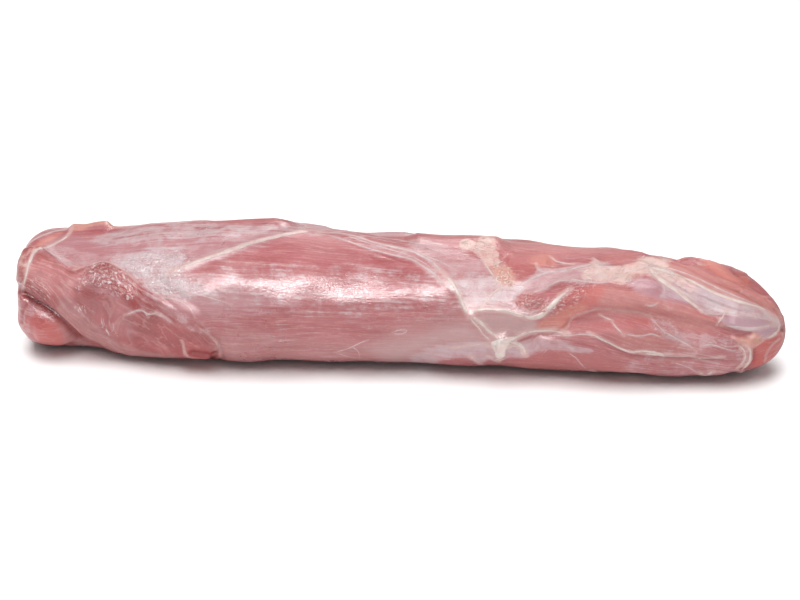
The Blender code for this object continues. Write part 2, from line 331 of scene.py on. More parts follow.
# What the skin shows, patch by patch: tissue, softness of the edge in mm, how strongly it
# covers the muscle, and the outline in photo pixels. under carries an outline on to where
# the photo doesn't reach, in (run, turn).
patches = {
    "headFlap": ("flap", 0.5, 9, [
        (36, 249), (44, 249), (57, 259), (67, 266), (74, 269), (84, 266), (93, 263), (101, 261),
        (109, 262), (116, 266), (124, 270), (131, 275), (137, 282), (143, 288), (150, 292),
        (158, 297), (166, 303), (173, 308), (179, 313), (185, 317), (192, 320), (200, 325),
        (207, 331), (214, 336), (219, 343), (221, 350), (221, 358), (218, 363)],
        [(80, 128), (76, 142), (66, 150), (54, 152), (42, 146), (33, 128), (25, 106), (20, 94),
         (15, 84), (9, 74), (4, 66), (-4, 60), (-12, 52), (-14, 34), (-6, 24)]),
    "flapPale": ("salmon", 3.0, 0.2, [
        (28, 262), (40, 252), (58, 262), (72, 278), (78, 292), (66, 300), (50, 296), (34, 288)],
        ()),
    "flapBand": ("grey", 3.0, 0.42, [
        (62, 304), (76, 310), (92, 326), (112, 340), (140, 352), (172, 362), (140, 366),
        (104, 358), (80, 344), (64, 324)], ()),
    "flapFilm": ("film", 2.0, 0.3, [
        (138, 292), (152, 296), (166, 304), (186, 318), (206, 332), (198, 334), (176, 324),
        (158, 314), (140, 304)], ()),
    "headMembrane": ("film", 2.2, 0.8, [
        (44, 249), (64, 248), (79, 252), (95, 255), (110, 258), (101, 261), (90, 264), (74, 268),
        (67, 265), (57, 258)], ()),
    "headShine": ("silver", 4.0, 0.95, [
        (112, 260), (128, 254), (147, 252), (166, 249), (182, 252), (184, 262), (172, 270),
        (184, 278), (206, 288), (196, 296), (174, 296), (156, 291), (142, 282), (130, 272)], ()),
    "headStreaks": ("film", 4.0, 0.4, [
        (150, 250), (185, 244), (230, 240), (255, 242), (225, 254), (196, 264), (176, 270),
        (160, 262)], ()),
    # Painted highlight: pale silver laid over the muscle's shine band
    "eyePaintedHighlight": ("silver", 9.0, 0.27, [
        (205, 286), (260, 278), (330, 277), (400, 281), (450, 288), (450, 298), (400, 301),
        (330, 300), (260, 297)], ()),
    "eyeLilac": ("mauve", 5.0, 0.78, [
        (160, 296), (190, 284), (240, 286), (300, 294), (270, 306), (220, 314), (184, 312)], ()),
    "headOrange": ("orange", 0.8, 1.0, [
        (35, 245), (46, 238), (57, 233), (62, 232), (59, 236), (47, 243), (37, 247)], ()),
    "headRim": ("fat", 1.2, 0.55, [
        (17, 300), (16, 285), (18, 268), (23, 250), (29, 244), (36, 247), (31, 256), (28, 266),
        (24, 280), (21, 293)], ()),
    "skylineFat": ("peach", 1.4, 0.8, [], [
        (13, -25), (18, -34), (23, -31), (29, -38), (35, -35), (40, -27), (34, -20), (28, -23),
        (21, -18)]),
    # Painted shade: darker red over the tail's middle ridge, where the light catches it
    "tailPaintedShade": ("red", 4.0, 0.62, [
        (560, 304), (600, 294), (650, 300), (692, 312), (704, 330), (660, 334), (610, 332),
        (572, 332), (560, 322)], ()),
    "backStreaks": ("mauve", 4.0, 0.75, [
        (48, 243), (56, 238), (70, 236), (100, 240), (150, 238), (200, 236), (250, 234),
        (300, 231), (270, 240), (230, 252), (190, 264), (172, 271), (150, 262), (110, 258),
        (75, 250)], ()),
    # Silver film along the top, made paler as a painted sheen
    "skylineFilmAndSheen": ("silver", 5.0, 0.5, [
        (96, 238), (130, 231), (160, 227), (200, 225), (250, 227), (300, 229), (250, 233),
        (200, 237), (150, 240), (110, 243)], ()),
    "archBand": ("film", 1.0, 0.32, [
        (300, 231), (313, 229), (339, 228), (359, 235), (371, 241), (396, 247), (413, 251),
        (430, 261), (443, 273), (452, 281), (447, 287), (438, 280), (430, 272), (421, 266),
        (410, 260), (393, 256), (367, 249), (347, 242), (329, 236), (310, 236)], ()),
    "shoulderFilm": ("film", 4.0, 0.85, [
        (412, 245), (440, 248), (468, 256), (482, 264), (492, 280), (474, 281), (457, 284),
        (447, 276), (436, 266), (424, 256)], ()),
    "brightSilver": ("silver", 2.2, 0.62, [
        (452, 284), (462, 279), (475, 276), (490, 277), (500, 283), (512, 286), (522, 290),
        (514, 297), (500, 300), (486, 302), (476, 306), (466, 304), (459, 297), (455, 290)], ()),
    "middleFilm": ("film", 1.6, 0.95, [
        (500, 284), (514, 284), (529, 281), (540, 270), (557, 269), (577, 266), (600, 262),
        (616, 268), (610, 279), (594, 282), (579, 283), (571, 279), (557, 281), (543, 289),
        (524, 292), (512, 298), (522, 308), (540, 314), (530, 318), (512, 312), (490, 308),
        (480, 305), (492, 296)], ()),
    "lilacPatch": ("mauve", 1.5, 0.8, [
        (528, 280), (543, 277), (560, 278), (552, 284), (540, 290), (526, 289), (518, 285)], ()),
    "panel": ("grey", 1.4, 1.2, [
        (476, 317), (486, 312), (500, 313), (520, 318), (537, 321), (537, 330), (520, 334),
        (503, 338), (489, 332), (480, 324)], ()),
    "lowGrey": ("grey", 6.0, 1.1, [
        (372, 344), (400, 336), (436, 326), (464, 317), (472, 321), (491, 339), (493, 346),
        (450, 348), (429, 352), (411, 359), (390, 362), (362, 352)], ()),
    "lowSilver": ("steel", 1.6, 0.95, [
        (411, 358), (429, 349), (450, 344), (474, 342), (493, 344), (512, 346), (526, 341),
        (543, 338), (556, 341), (577, 346), (592, 351), (575, 351), (560, 349), (543, 350),
        (530, 355), (520, 358), (509, 357), (500, 360), (491, 357), (480, 364), (476, 362),
        (469, 358), (450, 358), (433, 363), (414, 364)], ()),
    "creamPatch": ("fat", 0.7, 0.95, [
        (459, 245), (469, 243), (476, 246), (481, 240), (488, 239), (495, 244), (497, 252),
        (501, 262), (498, 266), (491, 266), (487, 268), (480, 259), (471, 253), (461, 250)], ()),
    "peachGrains": ("peach", 1.2, 0.9, [
        (490, 266), (504, 265), (512, 272), (516, 280), (509, 287), (499, 283)], ()),
    "redWindow": ("red", 1.4, 0.95, [
        (499, 251), (520, 252), (551, 253), (560, 262), (540, 268), (530, 279), (519, 279),
        (510, 272), (503, 264)], ()),
    "orangeSpot": ("orange", 2.0, 0.75, [
        (531, 258), (543, 254), (554, 256), (554, 264), (543, 267), (533, 265)], ()),
    "wovenCoral": ("coral", 3.0, 0.55, [
        (556, 316), (566, 300), (585, 286), (602, 290), (592, 304), (576, 314), (566, 324)], ()),
    "darkGrains": ("red", 1.0, 0.9, [
        (510, 299), (521, 294), (534, 294), (544, 300), (550, 307), (538, 314), (526, 311),
        (514, 305)], ()),
    "orangeBelly": ("orange", 1.2, 1.0, [
        (538, 323), (549, 316), (561, 309), (577, 304), (588, 305), (582, 313), (572, 316),
        (568, 326), (557, 332), (543, 332), (536, 329)], ()),
    "lowRed": ("red", 2.5, 0.85, [
        (522, 359), (543, 352), (561, 350), (580, 352), (600, 357), (628, 367), (620, 372),
        (580, 370), (540, 368), (518, 365)], ()),
    "topTagFilm": ("fat", 2.4, 1.1, [
        (584, 268), (596, 259), (601, 263), (616, 266), (636, 262), (640, 256), (655, 255),
        (672, 261), (671, 268), (682, 276), (697, 285), (694, 292), (680, 287), (661, 278),
        (651, 275), (640, 278), (630, 284), (618, 286), (610, 281), (594, 282), (578, 281)], ()),
    "topRed": ("red", 0.7, 1.1, [
        (598, 262), (601, 256), (616, 253), (634, 253), (639, 257), (636, 261), (614, 265)], ()),
    "whiteSheet": ("silver", 1.0, 0.85, [
        (641, 266), (666, 269), (679, 277), (696, 286), (711, 293), (733, 301), (753, 306),
        (767, 310), (776, 318), (779, 327), (768, 320), (751, 318), (734, 315), (720, 315),
        (706, 314), (698, 309), (690, 302), (671, 298), (660, 297), (663, 291), (660, 283),
        (651, 275)], ()),
    "firstOval": ("lilac", 1.8, 0.6, [
        (628, 284), (640, 279), (654, 281), (670, 288), (690, 297), (704, 305), (688, 304),
        (670, 300), (652, 296), (637, 290)], ()),
    "secondOval": ("lilac", 0.9, 1.1, [
        (722, 317), (737, 315), (759, 319), (773, 323), (777, 328), (771, 335), (763, 338),
        (755, 332), (737, 327), (723, 323)], ()),
    "sheetShade": ("lilac", 1.2, 0.6, [
        (671, 276), (686, 282), (706, 290), (726, 296), (744, 304), (722, 302), (700, 295),
        (684, 288)], ()),
    "upperRed": ("salmon", 0.9, 1.0, [
        (658, 264), (680, 263), (701, 270), (712, 276), (740, 283), (760, 292), (776, 306),
        (783, 320), (779, 325), (768, 311), (751, 304), (731, 298), (712, 290), (697, 284),
        (684, 275)], ()),
    "tailOrange": ("orange", 1.6, 1.2, [
        (702, 263), (716, 260), (733, 266), (745, 275), (753, 285), (737, 282), (720, 277),
        (707, 270)], ()),
    "tailCream": ("fat", 2.0, 0.4, [
        (680, 261), (694, 258), (706, 260), (712, 269), (703, 270), (691, 264)], ()),
    "lowTailFilm": ("film", 4.0, 0.3, [
        (690, 340), (705, 342), (725, 345), (740, 343), (750, 350), (750, 360), (742, 369),
        (735, 376), (700, 378), (664, 376), (630, 368), (660, 358), (676, 350)], ()),
    "tailWeb": ("film", 1.8, 0.5, [
        (652, 322), (668, 324), (688, 334), (716, 338), (724, 344), (706, 346), (686, 343),
        (668, 338)], ()),
    "tipFace": ("coral", 0.8, 1.2, [
        (750, 348), (764, 338), (778, 331), (790, 334), (790, 346), (782, 356), (768, 366),
        (752, 373), (742, 371), (750, 361)], ()),
    "lobeShade": ("red", 1.6, 0.9, [
        (46, 322), (58, 320), (70, 334), (84, 343), (60, 350), (40, 346), (44, 334)], ()),
    "lobePale": ("film", 1.6, 0.4, [
        (20, 308), (28, 302), (40, 305), (54, 314), (48, 318), (36, 312), (29, 320), (26, 334),
        (21, 330)], ()),
    "lobeWarm": ("coral", 2.4, 0.52, [
        (24, 320), (36, 314), (50, 322), (62, 334), (56, 345), (40, 346), (26, 340)], ()),
    "peachLump": ("peach", 0.8, 1.0, [
        (729, 335), (738, 336), (748, 336), (753, 332), (762, 334), (763, 341), (754, 346),
        (744, 347), (738, 342)], ()),
    "tailEdgeFat": ("fat", 1.2, 0.6, [
        (734, 343), (746, 344), (753, 351), (752, 362), (745, 371), (737, 376), (733, 371),
        (742, 362), (743, 353)], ()),
    "starFat": ("fat", 0.6, 1.2, [
        (490, 345), (498, 341), (507, 338), (516, 337), (517, 342), (524, 346), (527, 354),
        (522, 355), (517, 347), (510, 349), (504, 352), (502, 361), (497, 360), (499, 350)], ()),
    "tipPale": ("fat", 1.6, 0.5, [
        (778, 330), (788, 334), (790, 348), (782, 358), (776, 352), (782, 342)], ()),
    "tailSalmon": ("salmon", 5.0, 0.6, [
        (600, 286), (640, 294), (690, 306), (716, 320), (700, 332), (650, 318), (600, 306),
        (575, 300)], ()),
    "midSalmon": ("salmon", 4.0, 0.55, [
        (618, 336), (650, 334), (690, 344), (700, 350), (660, 350), (630, 346)], ()),
    "topSalmon": ("salmon", 5.0, 0.5, [
        (320, 224), (380, 226), (440, 232), (520, 238), (600, 246), (600, 252), (540, 250),
        (440, 240), (360, 232)], ()),
    "flapSmooth": ("mauve", 5.0, 0.3, [
        (73, 286), (90, 282), (101, 286), (110, 295), (119, 306), (126, 318), (124, 330),
        (113, 329), (101, 321), (90, 312), (77, 306), (67, 295)], ()),
    "bellyFilm": ("grey", 6.0, 0.32, [
        (230, 340), (300, 346), (370, 350), (372, 368), (300, 370), (230, 370)], ()),
    "backFilm": ("film", 4.0, 0.8, [], [
        (36, -60), (70, -48), (110, -52), (150, -58), (168, -70), (140, -78), (90, -72),
        (50, -78)]),
    "backSilver": ("silver", 3.0, 0.62, [], [
        (140, -70), (158, -60), (178, -56), (196, -62), (214, -74), (206, -84), (186, -78),
        (168, -80), (150, -84)]),
    "backSteel": ("steel", 4.0, 0.6, [], [
        (96, -112), (120, -100), (160, -104), (200, -98), (228, -104), (216, -120),
        (170, -126), (120, -124)]),
    "backMauve": ("mauve", 5.0, 0.8, [], [
        (24, -24), (60, -26), (120, -24), (150, -30), (120, -46), (70, -44), (30, -48)]),
    "backSalmon": ("salmon", 5.0, 0.8, [], [
        (196, -30), (230, -28), (262, -40), (272, -66), (250, -84), (222, -70), (200, -50)]),
    "backFat": ("fat", 0.9, 0.9, [], [
        (212, -64), (222, -54), (236, -52), (252, -58), (262, -66), (250, -70), (238, -66),
        (226, -72), (216, -76)]),
    "backRed": ("red", 3.0, 0.8, [], [
        (40, -96), (70, -88), (100, -92), (92, -112), (60, -118), (38, -110)]),
    "backCoral": ("coral", 2.5, 0.7, [], [
        (6, -60), (14, -70), (22, -90), (14, -112), (2, -100), (-4, -80)]),
}

# Where the wet skin is crumpled or grainy, so that it glints and painted glints lie on it: softness,
# strength, pixels.
crumples = {
    "flapWet": (1.5, 1.0, [
        (76, 292), (80, 276), (95, 266), (108, 264), (122, 271), (132, 282), (138, 294),
        (128, 301), (117, 296), (104, 290), (90, 286)]),
    "leftFilm": (3.0, 0.9, [
        (110, 259), (133, 255), (160, 249), (186, 249), (196, 260), (186, 273), (206, 284),
        (190, 297), (166, 296), (148, 288), (135, 277), (122, 267)]),
    "eyeBand": (5.0, 0.2, [
        (190, 276), (240, 270), (300, 270), (360, 272), (420, 277), (455, 286), (452, 300),
        (400, 302), (330, 300), (260, 298), (200, 296)]),
    "silverKnot": (2.0, 0.35, [
        (452, 286), (470, 278), (495, 278), (514, 288), (512, 300), (486, 303), (464, 303)]),
    "grains": (1.5, 0.8, [
        (510, 299), (521, 293), (536, 294), (546, 302), (542, 312), (524, 312)]),
    "woven": (2.0, 1.0, [
        (545, 308), (560, 294), (580, 281), (596, 284), (584, 297), (562, 312), (548, 316)]),
    "lobeTop": (1.5, 0.8, [(28, 304), (44, 302), (57, 312), (52, 321), (36, 315)]),
    "flapStripe": (1.0, 0.9, [(99, 320), (108, 320), (122, 333), (117, 339), (104, 331)]),
    "flapStripeUp": (1.0, 0.8, [(73, 306), (84, 305), (92, 311), (84, 316)]),
    "headGlints": (1.5, 0.8, [(26, 284), (36, 278), (50, 291), (47, 299), (33, 293)]),
    "tailGrainsA": (1.5, 0.6, [(650, 322), (664, 318), (680, 330), (676, 340), (660, 336)]),
    "tailGrainsB": (1.5, 0.6, [(705, 338), (718, 334), (730, 342), (720, 349), (708, 346)]),
    "peach": (1.2, 0.6, [(490, 264), (504, 263), (514, 272), (512, 286), (499, 284)]),
}

# Where the skin is drier and hardly shines: softness, strength, pixels.
dryness = {
    "flapLeft": (4.0, 1.0, [
        (24, 264), (38, 250), (58, 258), (74, 274), (74, 300), (52, 302), (30, 290)]),
    "flapLow": (4.0, 0.8, [
        (62, 304), (92, 316), (130, 330), (180, 340), (218, 356), (200, 366), (150, 364),
        (100, 356), (66, 330)]),
    "underArch": (4.0, 0.8, [
        (188, 270), (225, 256), (262, 243), (300, 236), (345, 244), (380, 255), (330, 262),
        (260, 266), (215, 274)]),
    "tailMiddle": (5.0, 1.3, [
        (590, 288), (640, 298), (690, 308), (724, 322), (730, 348), (690, 348), (640, 342),
        (590, 336), (560, 332), (562, 318)]),
    "secondOval": (2.0, 0.6, [(716, 300), (740, 302), (765, 314), (776, 328), (740, 328)]),
    "archBand": (2.0, 0.8, [
        (340, 233), (372, 237), (402, 245), (432, 260), (450, 278), (438, 284), (410, 262),
        (372, 250), (346, 242)]),
    "brightSilver": (3.0, 0.6, [
        (456, 286), (476, 277), (500, 280), (516, 288), (506, 300), (480, 305), (464, 302)]),
    "flapLip": (2.0, 0.9, [
        (170, 299), (184, 302), (198, 310), (208, 321), (196, 320), (178, 310)]),
    "topMiddle": (4.0, 0.7, [
        (512, 246), (560, 250), (600, 254), (640, 258), (600, 262), (556, 266), (520, 268)]),
    "upperTail": (4.0, 0.8, [
        (668, 262), (720, 266), (760, 285), (784, 318), (765, 308), (720, 290), (690, 278)]),
}

# Lines that stand out of the skin or cut into it: half width and height in mm, then pixels,
# or (run, turn) where the photo doesn't reach.
creases = {
    "lobeCrease": (1.1, -1.7, [(15, 290), (22, 293), (28, 298), (39, 305), (47, 310), (57, 317),
                               (66, 324), (74, 332), (82, 339), (90, 345)]),
    "lobeLeft": (0.9, -0.8, [(29, 299), (25, 304), (22.5, 314), (22, 326)]),
    "lobeCut": (0.45, -1.1, [(20, 293), (27, 297), (33, 302), (39, 304), (50, 311), (58, 318)]),
    "slitBag": (4.5, 2.4, [(180, 350), (190, 354), (202, 356), (214, 356)]),
    "flapSlit": (1.0, -1.3, [(189, 352), (196, 353.5), (202, 354.5), (209, 355), (216, 355)]),
    "tipCleft": (1.6, -0.8, [(780, 328), (785, 330), (789, 332)]),
    "tailBumpA": (1.8, 0.6, [(744, 275), (752, 281)]),
    "tailBumpB": (1.6, 0.5, [(758, 287), (764, 293)]),
    "tailBumpC": (1.6, 0.5, [(770, 301), (775, 309)]),
    "slitBrow": (1.1, 0.6, [(184, 345), (193, 346), (204, 347), (215, 349)]),
    "skylineFat": (3.6, 1.9, [], [(16, -28), (22, -28), (28, -28), (34, -28)]),
    "headLow": (6.0, 1.3, [(34, 334), (52, 338), (70, 342)]),
    "archCrest": (9.0, 0.7, [(285, 228), (308, 227), (332, 229)]),
    "middleCrest": (9.0, 2.0, [(405, 240), (440, 240), (475, 242), (512, 246)]),
    "tailRise": (5.0, 0.9, [(706, 264), (720, 266), (734, 271)]),
    "tailShoulder": (9.0, -0.8, [(738, 272), (752, 283), (766, 297)]),
    "archRidge": (1.5, 0.2, [(172, 271), (210, 257), (249, 244), (287, 234), (320, 231)]),
    "archFoot": (1.0, -0.2, [(190, 268), (225, 258), (258, 248), (290, 240), (330, 240),
                              (365, 250), (398, 260), (425, 272), (445, 290), (458, 310)]),
    "panelDip": (3.0, -0.4, [(484, 318), (505, 324), (528, 326)]),
    "backGroove": (1.6, -0.8, [], [(146, -74), (178, -80), (206, -86), (236, -88), (262, -82)]),
    "backSeam": (1.3, -0.6, [], [(84, -120), (128, -112), (172, -118), (200, -112)]),
    "backHead": (1.8, -1.0, [], [(6, -40), (14, -58), (20, -80), (27, -104), (40, -120)]),
    "backSwell": (5.0, 0.8, [], [(176, -58), (206, -64), (240, -68)]),
    "bellyFold": (1.0, -0.7, [(572, 318), (566, 327), (552, 335), (535, 334)]),
    "middleGroove": (1.2, -0.3, [(575, 319), (600, 312), (625, 313), (648, 316), (666, 322),
                                 (682, 330), (697, 335), (723, 339), (738, 341)]),
    "lowGroove": (0.9, -0.9, [(588, 337), (610, 346), (630, 356), (660, 358), (700, 360),
                              (722, 361), (741, 361)]),
    "ovalGroove": (0.8, -0.6, [(690, 303), (702, 313), (716, 318), (722, 326), (737, 330)]),
    "sheetEdge": (0.9, 0.5, [(641, 268), (666, 271), (684, 280), (706, 292), (731, 301),
                             (753, 307), (770, 314)]),
    "upperGroove": (0.9, -0.8, [(664, 262), (684, 266), (704, 276), (730, 288), (756, 300),
                                (776, 317)]),
    "upperGroove2": (0.8, -0.7, [(690, 260), (712, 272), (740, 284), (762, 296), (780, 318)]),
    "upperGroove3": (0.7, -0.5, [(655, 274), (676, 284), (700, 297), (728, 308), (760, 314)]),
    "notch": (1.8, -0.7, [(676, 256), (682, 262), (690, 266)]),
    "ovalSwell2": (3.0, 0.5, [(730, 320), (748, 324), (768, 328)]),
    "tipFold": (1.4, 0.9, [(748, 346), (751, 356), (746, 365), (738, 373)]),
    "peachFold": (1.2, 1.2, [(731, 337), (740, 339), (747, 340), (754, 336), (760, 338)]),
    "peachFoldLow": (1.3, 1.1, [(760, 340), (754, 343), (746, 345)]),
    "tailSky": (1.6, 0.7, [(686, 260), (697, 258), (710, 262)]),
    "tipShadow": (1.2, -1.2, [(753, 348), (755, 356), (751, 364), (744, 371)]),
    "topMuscle": (5.0, 0.8, [(505, 258), (530, 262), (552, 262)]),
    "grainDip": (1.6, -0.25, [(514, 302), (526, 306), (542, 306)]),
}


# How the fibres run where they don't follow the meat's length.
fibreGuides = [
    [(640, 262), (668, 268), (700, 284), (740, 300), (772, 316)],
    [(650, 282), (684, 300), (722, 313), (775, 324)],
    [(590, 290), (640, 300), (690, 316), (735, 335)],
    [(560, 308), (600, 305), (645, 315), (685, 330), (728, 342)],
    [(560, 332), (600, 340), (640, 354), (700, 360), (740, 366)],
    [(690, 259), (722, 270), (752, 287), (778, 316)],
]
flapGuides = [
    [(33, 262), (60, 287), (90, 318), (118, 347)],
    [(30, 282), (50, 305), (75, 332), (95, 348)],
    [(95, 272), (125, 293), (160, 322), (205, 350)],
    [(60, 268), (95, 295), (135, 330), (170, 356)],
    [(125, 272), (152, 294), (190, 316), (218, 345)],
]


# For the muscle and the flap: how far a guide pulls, mm, and how firmly fibres keep their own
# way; for both, how far apart a guide's points are, in pixels, and where its pull is over
guidePull = {"muscle": (6, 0.1), "flap": (9, 0.02), "step": 4, "over": 3}


def fibreCourse(guides, reach, hold):
    # Turn in mm, bent so that the lines of even value follow the guides.
    shift, weight = np.zeros(len(flatBase)), np.full(len(flatBase), hold)
    for guide in guides:
        line = skinLine(guide, guidePull["step"])
        _, lineTurn = unrolled(line)
        near, far, share = toLine(line, guidePull["over"] * reach * mm)
        nearestTurn = np.interp(share, np.linspace(0, 1, len(line)), lineTurn)
        pull = np.exp(-(far / reach) ** 2)
        shift[near] += pull * (lineTurn.mean() - nearestTurn)
        weight[near] += pull
    return (flatTurn + shift / weight) * arcPerDegree


